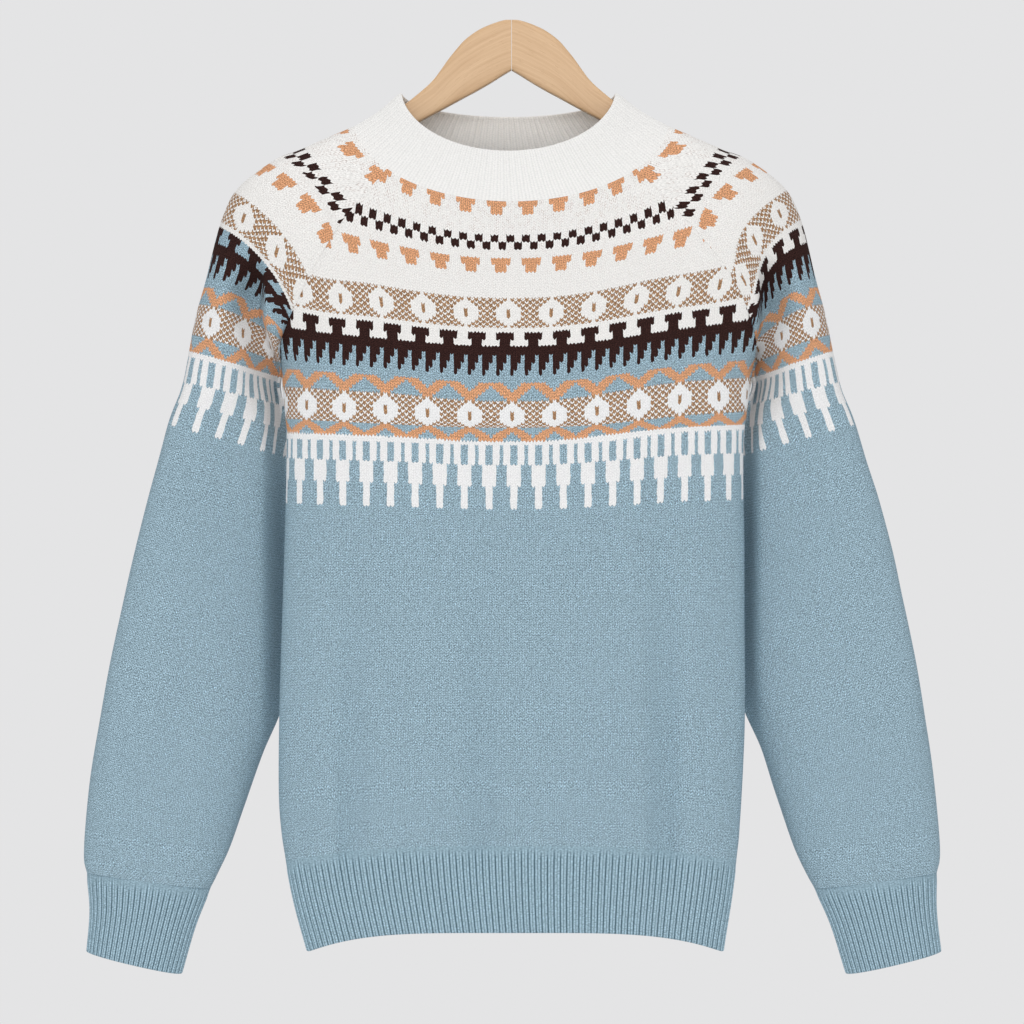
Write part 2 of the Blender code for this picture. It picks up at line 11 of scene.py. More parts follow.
import bpy
import numpy as np
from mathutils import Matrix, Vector


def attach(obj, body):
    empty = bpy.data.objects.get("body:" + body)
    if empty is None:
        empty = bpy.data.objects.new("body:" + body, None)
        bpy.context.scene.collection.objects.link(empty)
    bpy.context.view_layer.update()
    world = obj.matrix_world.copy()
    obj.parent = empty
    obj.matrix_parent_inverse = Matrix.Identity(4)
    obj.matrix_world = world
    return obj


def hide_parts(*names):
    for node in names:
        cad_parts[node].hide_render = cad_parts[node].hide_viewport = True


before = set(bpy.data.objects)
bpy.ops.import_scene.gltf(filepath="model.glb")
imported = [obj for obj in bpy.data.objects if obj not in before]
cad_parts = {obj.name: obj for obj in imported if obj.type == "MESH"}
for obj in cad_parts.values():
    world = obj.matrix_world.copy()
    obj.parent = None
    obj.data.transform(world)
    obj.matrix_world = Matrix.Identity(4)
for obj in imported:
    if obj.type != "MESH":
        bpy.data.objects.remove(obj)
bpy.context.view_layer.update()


# ---- The hanger's two arms ----
# Flat beech arms, sawn to shape, mitred and glued at the crown, with their long edges eased.
# The grain runs along each arm and meets the other's in a V at the mitre.


def table(columns, *rows):
    """The rows' values, under the names in `columns`."""
    return dict(zip(columns.split(), np.array(rows, float).T))


def smooth(values, at):
    """A table column at fractional row numbers: a cubic through the rows with their mean slopes."""
    tangent = np.gradient(values)
    at = np.asarray(at, float)
    row = np.clip(np.floor(at).astype(int), 0, len(values) - 2)
    t = at - row
    return (
        (1 + 2 * t) * (1 - t) ** 2 * values[row]
        + t * (1 - t) ** 2 * tangent[row]
        + t * t * (3 - 2 * t) * values[row + 1]
        - t * t * (1 - t) * tangent[row + 1]
    )


def unit(vectors):
    """The vectors at a length of 1."""
    return vectors / np.linalg.norm(vectors, axis=-1, keepdims=True)


def run_along(points, axis=0):
    """Length along a line of points, or along each line of a grid, from its first point."""
    step = np.linalg.norm(np.diff(points, axis=axis), axis=-1)
    return np.cumsum(np.insert(step, 0, 0, axis=axis), axis=axis)


def feed(tree, socket, value):
    """A socket linked to another one, or set to a number or an RGB triple."""
    if isinstance(value, bpy.types.NodeSocket):
        tree.links.new(value, socket)
    else:
        socket.default_value = (*value, 1.0) if isinstance(value, tuple) else value


def math_node(tree, operation, *inputs, clamp=False):
    """A Math node over sockets or plain numbers; gives its output socket."""
    node = tree.nodes.new("ShaderNodeMath")
    node.operation = operation
    node.use_clamp = clamp
    for socket, value in zip(node.inputs, inputs):
        feed(tree, socket, value)
    return node.outputs[0]


def mix_colours(tree, share, first, second, blend="MIX"):
    """A colour mixed from two, each a socket or an RGB triple."""
    node = tree.nodes.new("ShaderNodeMix")
    node.data_type = "RGBA"
    node.blend_type = blend
    for number, value in ((0, share), (6, first), (7, second)):
        feed(tree, node.inputs[number], value)
    return node.outputs[2]


def plain_material(name, roughness):
    """A Principled material with its tree, its shader and its UV socket."""
    material = bpy.data.materials.new(name)
    material.use_nodes = True
    tree = material.node_tree
    shader = tree.nodes["Principled BSDF"]
    shader.inputs["Roughness"].default_value = roughness
    shader.inputs["Specular IOR Level"].default_value = 0.12
    place = tree.nodes.new("ShaderNodeUVMap")
    place.uv_map = "place"
    return material, tree, shader, place.outputs[0]


def bump(tree, height, distance):
    """The normals of a surface whose height stands out by a distance in metres."""
    node = tree.nodes.new("ShaderNodeBump")
    node.inputs["Distance"].default_value = distance
    tree.links.new(height, node.inputs["Height"])
    return node.outputs[0]


def noise(tree, place, scale, detail=2.0, stretch=(1, 1, 1), turn=0.0):
    """Noise over a stretched and turned place, 0 to 1."""
    moved = tree.nodes.new("ShaderNodeMapping")
    moved.inputs["Scale"].default_value = stretch
    moved.inputs["Rotation"].default_value = (0, 0, turn)
    node = tree.nodes.new("ShaderNodeTexNoise")
    node.inputs["Scale"].default_value = scale
    node.inputs["Detail"].default_value = detail
    tree.links.new(place, moved.inputs["Vector"])
    tree.links.new(moved.outputs[0], node.inputs["Vector"])
    return node.outputs["Fac"]


put_in_scene = bpy.context.scene.collection.objects.link


def together(*parts):
    """One grid from its coordinates, each spread out to the size of them all."""
    return np.stack(np.broadcast_arrays(*parts), axis=-1)


def piece(name, points, faces, uv, materials, material_ids=None, smooth_angle=None):
    """A piece from points in mm, faces as rows of point numbers, and a UV for each corner in turn."""
    mesh = bpy.data.meshes.new(name)
    mesh.from_pydata((points * 0.001).tolist(), [], faces)
    layer = mesh.uv_layers.new(name="place")
    layer.data.foreach_set("uv", np.asarray(uv, np.float32).ravel())
    for material in materials:
        mesh.materials.append(material)
    if material_ids is not None:
        mesh.polygons.foreach_set("material_index", np.asarray(material_ids, np.int32))
    mesh.shade_smooth()
    if smooth_angle:
        mesh.set_sharp_from_angle(angle=math.radians(smooth_angle))
    made = bpy.data.objects.new(name, mesh)
    put_in_scene(made)
    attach(made, "root")
    return made


# An arm's sections from the crown outwards
HANGER = table(
    "x top bottom half_depth",
    (0.17, 0, -40.4, 6),
    (6, -0.3, -43.8, 6),
    (16, -3.4, -50.1, 6),
    (26.8, -8.4, -56.4, 6),
    (37.2, -16, -62, 6),
    (44.4, -24, -65.9, 6),
    (50.8, -32, -69.4, 6),
    (56.4, -40, -72.4, 6),
    (62.8, -48.4, -75.8, 6),
    (72, -57, -80.7, 6),
    (88, -69.6, -89.3, 6),
    (108, -82, -101.2, 6),
    (126, -90.8, -110.4, 6),
    (147, -98.9, -118.8, 6),
    (168.4, -107.2, -127, 6),
    (188, -115.6, -133.6, 6),
    (199, -122, -136.4, 6),
    (206, -128, -136, 5.3),
    (209, -131.6, -134.2, 3.6),
)

wood, tree, shader, place = plain_material("pale oiled beech", 0.42)
shader.inputs["Specular IOR Level"].default_value = 0.4
streaks = noise(tree, place, 1.0, 5.0, (0.010, 0.42, 1))
flecks = noise(tree, place, 1.0, 2.0, (0.09, 1.7, 1))
cloud = noise(tree, place, 1.0, 1.0, (0.015, 0.05, 1))
tone = math_node(tree, "MULTIPLY_ADD", streaks, 1.5, -0.25, clamp=True)
tone = math_node(tree, "MULTIPLY_ADD", math_node(tree, "SUBTRACT", cloud, 0.5), 0.6, tone, clamp=True)
colour = mix_colours(tree, tone, (0.61, 0.38, 0.205), (0.775, 0.535, 0.32))
colour = mix_colours(tree, math_node(tree, "GREATER_THAN", flecks, 0.66), colour, (0.60, 0.37, 0.20))
tree.links.new(colour, shader.inputs["Base Color"])
tree.links.new(bump(tree, streaks, 0.0003), shader.inputs["Normal"])

ARM_STATIONS = 90
ARM_SIDES = 40
# Each arm takes its grain from its own side of the board, this far off the middle
BOARD_SIDE = 40
at = np.linspace(0, len(HANGER["x"]) - 1, ARM_STATIONS)
arm_x, arm_top, arm_foot, half_depth = (smooth(values, at)[:, None] for values in HANGER.values())
middle, half_height = (arm_top + arm_foot) / 2, (arm_top - arm_foot) / 2
# Each section is a rounded rectangle: cos and sin raised to 1/3, so its sides are nearly flat
turn = np.linspace(0, 2 * math.pi, ARM_SIDES + 1)[None, :-1] + math.pi / ARM_SIDES
across, upright = (np.sign(wave) * np.abs(wave) ** (1 / 3) for wave in (np.cos(turn), np.sin(turn)))
upright = half_height * upright
arm_points = together(arm_x, half_depth * across, middle + upright)
# The grain's place: the length along the arm's middle line, and the height off it
run = run_along(np.hstack([arm_x, middle]))[:, None]
arm_uv = together(run, upright + 3 * across)
ids = np.arange(arm_points.shape[0] * ARM_SIDES).reshape(-1, ARM_SIDES)
after = np.roll(ids, -1, axis=1)
quads = np.stack([ids[:-1], after[:-1], after[1:], ids[1:]], axis=-1).reshape(-1, 4)
for side, sign in (("right", 1), ("left", -1)):
    faces = quads.tolist() + [ids[0, ::-1].tolist(), ids[-1].tolist()]
    if sign > 0:
        faces = [face[::-1] for face in faces]
    corner_uv = arm_uv.reshape(-1, 2)[np.concatenate([np.array(face) for face in faces])]
    arm = piece(
        "hanger_wood_" + side,
        arm_points.reshape(-1, 3) * (sign, 1, 1),
        faces,
        corner_uv + (0, BOARD_SIDE * sign),
        [wood],
        smooth_angle=35,
    )
    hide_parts("hanger_arm_" + side)


# ---- The front ----
# One panel of stockinette in medium wool, knitted to shape, with its yoke in several yarns
# carried behind the work. Its raglan edges are linked to the sleeves.

WALL = 2.0
NECK_SEAM = dict(half_width=125.6, front=62.0, back=50.0, side_z=-84.8, front_drop=65.1, back_drop=27.2)
SHOULDER_ROUND = 0.12
RAGLAN_TURN = math.radians(51.6)
# Powers: a course bends to its seam near its ends only, and droops towards them
SEAM_BEND = 10
YOKE_DROOP = 2.2


def ring(turn, half_width, front, back, side_z, front_drop, back_drop):
    """Points round a neck ellipse that falls away to front and back, rounded over the shoulder."""
    turn = np.asarray(turn, float)
    to_front = np.cos(turn)
    fall = np.hypot(to_front, SHOULDER_ROUND) - SHOULDER_ROUND
    fall /= math.hypot(1, SHOULDER_ROUND) - SHOULDER_ROUND
    x = half_width * np.sin(turn)
    y = -np.where(to_front > 0, front, back) * to_front
    z = side_z - np.where(to_front > 0, front_drop, back_drop) * fall
    return together(x, y, z)


SEAM_START = ring(RAGLAN_TURN, **NECK_SEAM)
BACK_START = ring(math.pi - RAGLAN_TURN, **NECK_SEAM)
# The raglan seams from neck to underarm, and the panels' middles level with them
YOKE = table(
    "chart seam_x front_y front_z back_y back_z reach round mid_front_y mid_front_z mid_back_y mid_back_z",
    (0, *SEAM_START, *BACK_START[1:], math.sin(RAGLAN_TURN), 2, -62, -149.9, 50, -112),
    (17, 130.4, -45, -160.4, 38, -139, 0.69, 2.1, -60.5, -181.9, 50.5, -147),
    (27, 143, -46, -179.3, 39, -159, 0.68, 2.2, -59.5, -200.6, 51, -168),
    (40, 158, -44, -205.2, 38.5, -187, 0.72, 2.3, -58, -226, 51, -196),
    (53, 172.7, -36, -233.9, 33.5, -219, 0.84, 2.35, -57, -252.3, 51, -226),
    (58.5, 179.3, -27, -248, 27, -238, 0.925, 2.4, -56.5, -263, 50.5, -243),
    (65, 184.3, -14, -262, 19, -259, 0.985, 2.4, -56, -275.4, 50.3, -262),
    (74, 184, 9, -283.7, 9, -283.7, 1.00, 2.4, -55, -292.3, 50, -282),
)
# The panels' sides and middles from underarm to hem
TORSO = table(
    "chart side_x side_y side_z mid_front_y mid_front_z mid_back_y mid_back_z round droop",
    (74, 184, 9, -283.7, -55, -292.3, 50, -282, 2.4, 2.2),
    (80, 183.2, 6, -298, -54.8, -306.5, 50, -297, 2.4, 2.2),
    (88, 181.2, 2.5, -316, -54.5, -323.5, 50, -315, 2.4, 2.2),
    (97.5, 179.8, 0, -334, -54, -338.5, 50, -334, 2.4, 2.2),
    (124, 180.6, 0, -387.2, -53, -390.8, 49.5, -388, 2.4, 2.2),
    (160, 183, 0, -464, -51, -462.8, 48, -463, 2.4, 2.4),
    (200, 185.6, 0, -548, -48.5, -541.6, 46, -542, 2.4, 2.6),
    (231, 186.2, 0, -615.2, -46, -604.7, 44, -606, 2.35, 2.8),
    (247, 184.2, 0, -648, -44.8, -636.4, 42.8, -638, 2.3, 2.9),
    (257, 180.6, 0, -672, -42.5, -657.1, 41, -658, 2.3, 3),
)


def arc_height(across, roundness):
    """How far forward a rounded section stands at each share of its width, 1 at the middle."""
    return (1 - np.abs(across) ** roundness) ** (1 / roundness)


def courses(side, middle, reach, roundness, droop, columns):
    """Courses side to side: a rounded arc cut off at `reach`, bent near its ends to meet the seam."""
    across = np.sin(np.linspace(-1, 1, columns + 1)[None] * np.arcsin(reach)) / reach
    bend = side[1] - middle[0] * arc_height(reach, roundness)
    y = middle[0] * arc_height(reach * across, roundness) + bend * np.abs(across) ** SEAM_BEND
    z = middle[1] + (side[2] - middle[1]) * np.abs(across) ** droop
    return together(side[0] * across, y, z)


FACE = {"front": -1, "back": 1}


def length_courses(get, name, columns):
    """Courses of a panel below the underarm, or of its hem, from its sides' and middle's places."""
    side = [get["side_" + axis] for axis in "xyz"]
    middle = [get["mid_%s_%s" % (name, axis)] for axis in "yz"]
    grid = courses(side, middle, np.ones_like(side[0]), get["round"], get["droop"], columns)
    return grid[:, :: -FACE[name]]


def smoothstep(value, low, high):
    """0 up to `low` and 1 from `high`, with an S between them."""
    t = np.clip((value - low) / (high - low), 0, 1)
    return t * t * (3 - 2 * t)


def at_rows(lengths, chart_rows):
    """A table's columns at these chart rows, and the rows' own places in the table."""
    at = np.interp(chart_rows, lengths["chart"], np.arange(len(lengths["chart"])))[:, None]
    return {key: smooth(values, at) for key, values in lengths.items()}, at


def even_rows(last, count, kept):
    """Chart rows in even steps from 0 to the last, with the nearest one moved to the row `kept`."""
    rows = np.linspace(0, last, count)
    rows[np.abs(rows - kept).argmin()] = kept
    return rows


def panel_surface(name, chart_rows, columns):
    """The front or back at these chart rows: yoke courses, blended into the neck ring, then the torso's."""
    on_yoke = chart_rows <= YOKE["chart"][-1]
    get, at = at_rows(YOKE, chart_rows[on_yoke])
    side = (get["seam_x"], get[name + "_y"], get[name + "_z"])
    middle = (get["mid_" + name + "_y"], get["mid_" + name + "_z"])
    yoke = courses(side, middle, np.minimum(get["reach"], 1), get["round"], YOKE_DROOP, columns)
    turn = np.linspace(-RAGLAN_TURN, RAGLAN_TURN, columns + 1)
    neck = ring(turn if name == "front" else math.pi - turn, **NECK_SEAM)
    yoke += smoothstep(0.5 - at, 0, 0.5)[..., None] * (neck - yoke[:1])
    get, _ = at_rows(TORSO, chart_rows[~on_yoke])
    return np.concatenate([yoke[:, :: -FACE[name]], length_courses(get, name, columns)])


def normals_of(grid, closed=False):
    """Outward normals of a grid whose rows run down and whose columns run anticlockwise from above."""
    if closed:
        grid = np.concatenate([grid[:, -2:-1], grid, grid[:, 1:2]], axis=1)
    normals = unit(np.cross(np.gradient(grid, axis=0), np.gradient(grid, axis=1)))
    return normals[:, 1:-1] if closed else normals


ROW_HEIGHT = 2.1
# How wide a stitch lies on a panel, in mm: the yoke is a little stretched towards the neck
PANEL_STITCH = table("chart width", (0, 3.06), (18, 3.09), (28, 2.95), (46, 2.78), (257, 2.78))

# The chart's rows where its first figures end and its dark checks start
FIGURES_END = 6
CHECKS_START = 14


def stitch_places(grid, chart_rows, middle_run, stitch, lead=0.0):
    """UV in stitches: length along the course from middle_run over the stitch's width, and the row.

    The first figures keep a row's own height, `lead` rows down from the neck seam, and the
    plain rows between them and the dark checks take up the rest of the column's length.
    """
    run, down = run_along(grid, 1), run_along(grid)
    rows = chart_rows[:, None] + 0 * run
    to_checks = np.array([np.interp(CHECKS_START, chart_rows, column) for column in down.T])[None]
    own = down / ROW_HEIGHT - lead
    first = (FIGURES_END + lead) * ROW_HEIGHT
    later = FIGURES_END + (down - first) * (CHECKS_START - FIGURES_END) / (to_checks - first)
    rows = np.where(rows < CHECKS_START, np.where(own < FIGURES_END, own, later), rows)
    return together((run - middle_run) / np.interp(rows, stitch["chart"], stitch["width"]), rows)


LIP = 0.9


def lip(first, second, beyond, count):
    """Rows of points from one wall's edge round to the other's: half an oval, LIP out at its middle."""
    angle = np.linspace(0, math.pi, count + 2)[1:-1, None, None]
    return (first + second) / 2 + (first - second) / 2 * np.cos(angle) + unit(beyond) * LIP * np.sin(angle)


def shell(name, outer, inner, uv, materials, closed=False, foot_lip=0, top_lip=0):
    """A thin wall: the outer grid, the inner grid and the lips between them as one loop of rows.

    A closed one's last column stands on its first, and an open one has its side edges filled.
    """
    rows = len(outer)
    foot = lip(outer[-1], inner[-1], outer[-1] - outer[-2], foot_lip)
    top = lip(inner[0], outer[0], outer[0] - outer[1], top_lip)
    points = np.concatenate([outer, foot, inner[::-1], top])
    places = np.concatenate([uv, np.repeat(uv[-1:], foot_lip, 0), uv[::-1], np.repeat(uv[:1], top_lip, 0)])
    if closed:
        points = points[:, :-1]
    ids = np.arange(points[..., 0].size).reshape(points.shape[:2])
    linked = np.concatenate([ids, ids[:, :1]], axis=1) if closed else ids

    def corners(grid, axis):
        """The grid's values at each quad's four corners, in turn."""
        pair = grid, np.roll(grid, -1, axis=0)
        return np.stack([pair[0][:, :-1], pair[1][:, :-1], pair[1][:, 1:], pair[0][:, 1:]], axis=axis)

    faces = corners(linked, -1).reshape(-1, 4).tolist()
    corner_uv = [corners(places, -2).reshape(-1, 2)]
    is_inner = np.zeros(len(points), int)
    is_inner[rows + foot_lip : 2 * rows + foot_lip - 1] = 1
    material_ids = np.repeat(is_inner, linked.shape[1] - 1).tolist()
    if not closed:
        row = np.arange(rows - 1)
        inner_row = 2 * rows + foot_lip - 1 - row
        rim = np.arange(rows - 1, rows + foot_lip + 1)
        for column, order in ((0, 1), (-1, -1)):
            edge = np.stack([row, inner_row, inner_row - 1, row + 1], axis=-1)[:, ::order]
            faces += ids[edge, column].tolist()
            corner_uv.append(places[edge, column].reshape(-1, 2))
            if foot_lip:
                faces.append(ids[rim[::-order], column].tolist())
                corner_uv.append(places[rim[::-order], column])
    material_ids += [0] * (len(faces) - len(material_ids))
    uv = np.concatenate(corner_uv)
    return piece(name, points.reshape(-1, 3), faces, uv, materials, material_ids, smooth_angle=50)


def node_group(name, inputs, outputs):
    """An empty node group with named sockets: a place is a vector, a yarn a colour, the rest numbers."""
    kinds = {"Place": "NodeSocketVector", "Colour": "NodeSocketColor"}
    group = bpy.data.node_groups.new(name, "ShaderNodeTree")
    for way, names in (("INPUT", inputs), ("OUTPUT", outputs)):
        for socket in names:
            kind = kinds.get(socket, "NodeSocketColor" if socket.endswith("yarn") else "NodeSocketFloat")
            group.interface.new_socket(name=socket, in_out=way, socket_type=kind)
    start = group.nodes.new("NodeGroupInput").outputs
    end = group.nodes.new("NodeGroupOutput").inputs
    return group, start, end


def place_group(tree, group, **values):
    """The group's node in a tree, its inputs linked or set by name; spaces are written as underscores."""
    node = tree.nodes.new("ShaderNodeGroup")
    node.node_tree = group
    for key, value in values.items():
        feed(tree, node.inputs[key.replace("_", " ")], value)
    return node.outputs


# A stitch: two strands that lean apart as a V, upright in a column, some knitted looser than others. Wale
# and Row number it, Along is how far up its strands a place is, Height how far they stand up, Shade is
# dark between them, and Chance is a number of the strand's own.
knit, start, end = node_group("knit stitch", ["Place"], ["Wale", "Row", "Along", "Height", "Shade", "Chance"])
calc = partial(math_node, knit)
parts = knit.nodes.new("ShaderNodeSeparateXYZ")
knit.links.new(start["Place"], parts.inputs[0])
wavy = noise(knit, start["Place"], 0.35, 1.0)
shifted = calc("MULTIPLY_ADD", calc("SUBTRACT", wavy, 0.5), 0.5, parts.outputs[0])
shifted = calc("ADD", shifted, 0.5)
wale = calc("FLOOR", shifted)
from_middle = calc("SUBTRACT", calc("FRACT", shifted), 0.5)
aside = calc("MULTIPLY", calc("ABSOLUTE", from_middle), 2.0)
leaned = calc("MULTIPLY_ADD", calc("SUBTRACT", aside, 0.5), 0.65, parts.outputs[1])
loose = calc("SUBTRACT", noise(knit, start["Place"], 0.9, 1.0), 0.5)
leaned = calc("MULTIPLY_ADD", loose, 0.9, leaned)
row = calc("FLOOR", leaned)
along = calc("FRACT", leaned)
strand = calc("SINE", calc("MULTIPLY_ADD", aside, 0.6 * math.pi, 0.2 * math.pi))
beyond = calc("POWER", calc("SINE", calc("MULTIPLY", along, math.pi)), 0.6)
height = calc("MULTIPLY", strand, calc("MULTIPLY_ADD", beyond, 0.6, 0.4))
own = knit.nodes.new("ShaderNodeTexWhiteNoise")
own.noise_dimensions = "2D"
cell = knit.nodes.new("ShaderNodeCombineXYZ")
knit.links.new(calc("FLOOR", calc("MULTIPLY", shifted, 2.0)), cell.inputs[0])
knit.links.new(row, cell.inputs[1])
knit.links.new(cell.outputs[0], own.inputs["Vector"])
shade = calc("SQRT", height)
stitch = dict(Wale=wale, Row=row, Along=along, Height=height, Shade=shade, Chance=own.outputs["Value"])
for name, socket in stitch.items():
    knit.links.new(socket, end[name])

# The yoke's chart, as small repeats: the rows each band fills and, on each, how wide its figure is.
# Where is 1 in a figure: Tan for the orange yarn, Brown, Dark, and Light for the ivory ground. Turned is 1
# on a sleeve, whose first figures stand half a repeat on, and Notch where the dark tees stand on blue.
chart, start, end = node_group(
    "yoke chart", ["Wale", "Row", "Along", "Notch", "Turned"], ["Light", "Tan", "Brown", "Dark"]
)
calc = partial(math_node, chart)
wale, row = start["Wale"], start["Row"]


def both(first, second):
    """1 where both masks are 1."""
    return calc("MULTIPLY", first, second)


def either(first, second):
    """1 where one of the masks is 1."""
    return calc("MAXIMUM", first, second)


def rows_from(first, past):
    """1 on the rows from `first` to the one before `past`."""
    return both(calc("GREATER_THAN", row, first - 0.5), calc("LESS_THAN", row, past - 0.5))


def width_by_row(width, changes):
    """A staircase down the rows: a width, plus each change from its own row on."""
    for at_row, change in changes:
        width = calc("MULTIPLY_ADD", calc("GREATER_THAN", row, at_row - 0.5), change, width)
    return width


def off_centre(counted, centre, repeat):
    """How many stitches a wale lies from the nearest repeat's centre."""
    return calc("ABSOLUTE", calc("WRAP", calc("SUBTRACT", counted, centre), repeat / 2, -repeat / 2))


tan = 0.0
turned = calc("MULTIPLY_ADD", start["Turned"], -4.0, wale)
for first, counted, centre in ((0, turned, -4), (24, wale, -3)):
    figure = calc("LESS_THAN", off_centre(counted, centre, 8), width_by_row(2.5, [(first + 3, -1.0)]))
    tan = either(tan, both(figure, rows_from(first, first + 6)))

apart = off_centre(wale, -0.5, 4)
upper = both(calc("LESS_THAN", apart, 1.0), rows_from(14, 17))
lower = both(calc("GREATER_THAN", apart, 1.0), rows_from(17, 20))
tee = off_centre(calc("MULTIPLY_ADD", start["Notch"], 2.0, wale), -2, 8)
tee = both(calc("LESS_THAN", tee, width_by_row(2.5, [(56, -1.0), (59, 9.0)])), rows_from(53, 62))
rank = calc("WRAP", calc("SUBTRACT", wale, 0.5), 3.5, -0.5)
spike = both(calc("LESS_THAN", row, calc("MULTIPLY_ADD", rank, -3.0, 70.5)), rows_from(62, 71))
dark = either(either(upper, lower), either(tee, spike))

brown = 0.0
light = calc("LESS_THAN", row, 61.5)
light = calc("SUBTRACT", light, both(start["Notch"], rows_from(53, 62)))
CIRCLE = [(1, 1), (2, 1), (3, 1), (8, -1), (9, -1), (10, -1)]
for first, centre in ((40, -1), (80, 0)):
    apart = off_centre(wale, centre, 12)
    in_circle = calc("LESS_THAN", apart, width_by_row(0.5, [(first + place, rise) for place, rise in CIRCLE]))
    checks = calc("FLOORED_MODULO", calc("ADD", calc("ADD", row, wale), (first + centre) % 2), 2.0)
    # The brown strands are fuller than the ivory, and lie over its stitches' ends
    near_end = calc("GREATER_THAN", calc("ABSOLUTE", calc("SUBTRACT", start["Along"], 0.5)), 0.33)
    checks = both(either(checks, near_end), calc("SUBTRACT", 1.0, in_circle))
    eye = both(calc("LESS_THAN", apart, 0.5), rows_from(first + 4, first + 7))
    brown = either(brown, both(rows_from(first, first + 11), either(checks, eye)))

apart = off_centre(wale, 0, 12)
for first, way, top, past in ((79, -1, 74, 80), (91, 1, 91, 97)):
    depth = calc("MULTIPLY", calc("SUBTRACT", row, first), way)
    above = calc("LESS_THAN", depth, calc("ADD", apart, 2.5))
    below = calc("GREATER_THAN", depth, calc("SUBTRACT", apart, 1.5))
    tan = either(tan, both(both(above, below), rows_from(top, past)))

apart = off_centre(wale, 0.5, 7)
outside = calc("GREATER_THAN", apart, width_by_row(1.0, [(108, -2.0)]))
inside = calc("LESS_THAN", apart, width_by_row(3.0, [(108, -1.0), (116, -1.0)]))
icicle = both(both(outside, inside), rows_from(99, 124))
light = either(either(light, rows_from(80, 91)), either(icicle, rows_from(97, 99)))
for name, socket in (("Light", light), ("Tan", tan), ("Brown", brown), ("Dark", dark)):
    chart.links.new(socket, end[name])

IVORY = (0.885, 0.870, 0.845)
WHITE = (0.88, 0.88, 0.88)
BLUE = (0.307, 0.430, 0.505)
TAN = (0.68, 0.345, 0.185)
BROWN = (0.37, 0.215, 0.115)
DARK = (0.034, 0.014, 0.012)

# Spun wool: Colour is the yarn's, mottled as its fibres were dyed apart, with painted shade between strands
# and painted light on their crests, as strong as Depth
wool, start, end = node_group(
    "spun wool", ["Place", "Dyed yarn", "Shade", "Chance", "Heather", "Depth"], ["Colour"]
)
calc = partial(math_node, wool)
fibres = noise(wool, start["Place"], 2.8, 1.0, (1.0, 0.8, 1), 0.5)
own = calc("MULTIPLY_ADD", start["Chance"], 0.25, -1.925)
spread = calc("MULTIPLY_ADD", fibres, 3.6, own)
mottle = calc("MULTIPLY_ADD", spread, start["Heather"], 1.0)
# Painted shade between the strands and painted light on their crests, about 1 on average
painted_shade = calc("MULTIPLY_ADD", calc("SUBTRACT", start["Shade"], 0.84), start["Depth"], 1.0)
factor = calc("MULTIPLY", mottle, painted_shade)
grey = wool.nodes.new("ShaderNodeCombineColor")
for socket in list(grey.inputs)[:3]:
    wool.links.new(factor, socket)
wool.links.new(mix_colours(wool, 1.0, start["Dyed yarn"], grey.outputs[0], "MULTIPLY"), end["Colour"])


def spun(tree, place, stitch, yarn, heather, depth):
    """The colour of wool spun from a yarn, with painted shade and light from its stitches' shade, and their
    chance.
    """
    own = dict(Place=place, Shade=stitch["Shade"], Chance=stitch["Chance"])
    return place_group(tree, wool, **own, Dyed_yarn=yarn, Heather=heather, Depth=depth)["Colour"]


def knit_material(name, notch=0.0, turned=0.0, wrong_side=False):
    """Stockinette in the yoke chart's yarns; the wrong side is the same with its strands lying flatter."""
    material, tree, shader, place = plain_material(name, 0.9)
    calc = partial(math_node, tree)
    stitch = place_group(tree, knit, Place=place)
    counted = {key: stitch[key] for key in ("Wale", "Row", "Along")}
    where = place_group(tree, chart, **counted, Notch=notch, Turned=turned)
    # The yarns carried behind show in the gaps between some strands of the ivory, most by the neck
    gap = calc("MULTIPLY_ADD", stitch["Shade"], -4.0, 3.5, clamp=True)
    some = calc("GREATER_THAN", stitch["Chance"], 0.80)
    near_neck = calc("MULTIPLY_ADD", stitch["Row"], -0.02, 0.95, clamp=True)
    floats = calc("MULTIPLY", calc("MULTIPLY", gap, some), near_neck)
    ground = mix_colours(tree, floats, IVORY, (0.44, 0.29, 0.25))
    ground = mix_colours(tree, calc("GREATER_THAN", stitch["Row"], 61.5), ground, WHITE)
    colour = mix_colours(tree, where["Light"], BLUE, ground)
    pale = where["Light"]
    for mask, yarn in (("Tan", TAN), ("Brown", BROWN), ("Dark", DARK)):
        colour = mix_colours(tree, where[mask], colour, yarn)
        pale = calc("SUBTRACT", pale, where[mask], clamp=True)
    # The ivory is spun evenly, the orange a little less so, and the blue and the browns are mottled most
    heather = calc("MULTIPLY_ADD", where["Tan"], -0.3, calc("MULTIPLY_ADD", pale, -0.60, 0.74))
    # Painted shade between strands: weak on the pale ground, strong on the coloured yarns
    depth = calc("MULTIPLY_ADD", pale, -1.60, 2.0)
    tree.links.new(spun(tree, place, stitch, colour, heather, depth), shader.inputs["Base Color"])
    tree.links.new(bump(tree, stitch["Height"], 0.0002 if wrong_side else 0.00035), shader.inputs["Normal"])
    return material


right_side = knit_material("wool, right side")
wrong_side = knit_material("wool, wrong side", wrong_side=True)

# Soft troughs in the hanging cloth: where each runs, how wide and deep it is, and how it leans
FRONT_TROUGHS = table(
    "x half_width depth top foot lean",
    (-127, 11, 8, -370, -672, 0),
    (-24, 12, 7.5, -390, -672, 0),
    (118, 12, 11, -330, -672, 4),
)


def pressed_in(grid, troughs, face):
    """The grid pressed in along its troughs: a bell across each, growing as a quarter sine down it."""
    x, z = grid[..., 0], grid[..., 2]
    grid = grid.copy()
    for centre, half_width, depth, top, foot, lean in zip(*troughs.values()):
        down = np.clip((top - z) / (top - foot), 0, 1)
        bell = np.exp(-(((x - centre - lean * down) / half_width) ** 2))
        grid[..., 1] -= face * depth * bell * np.sin(down * math.pi / 2)
    return grid


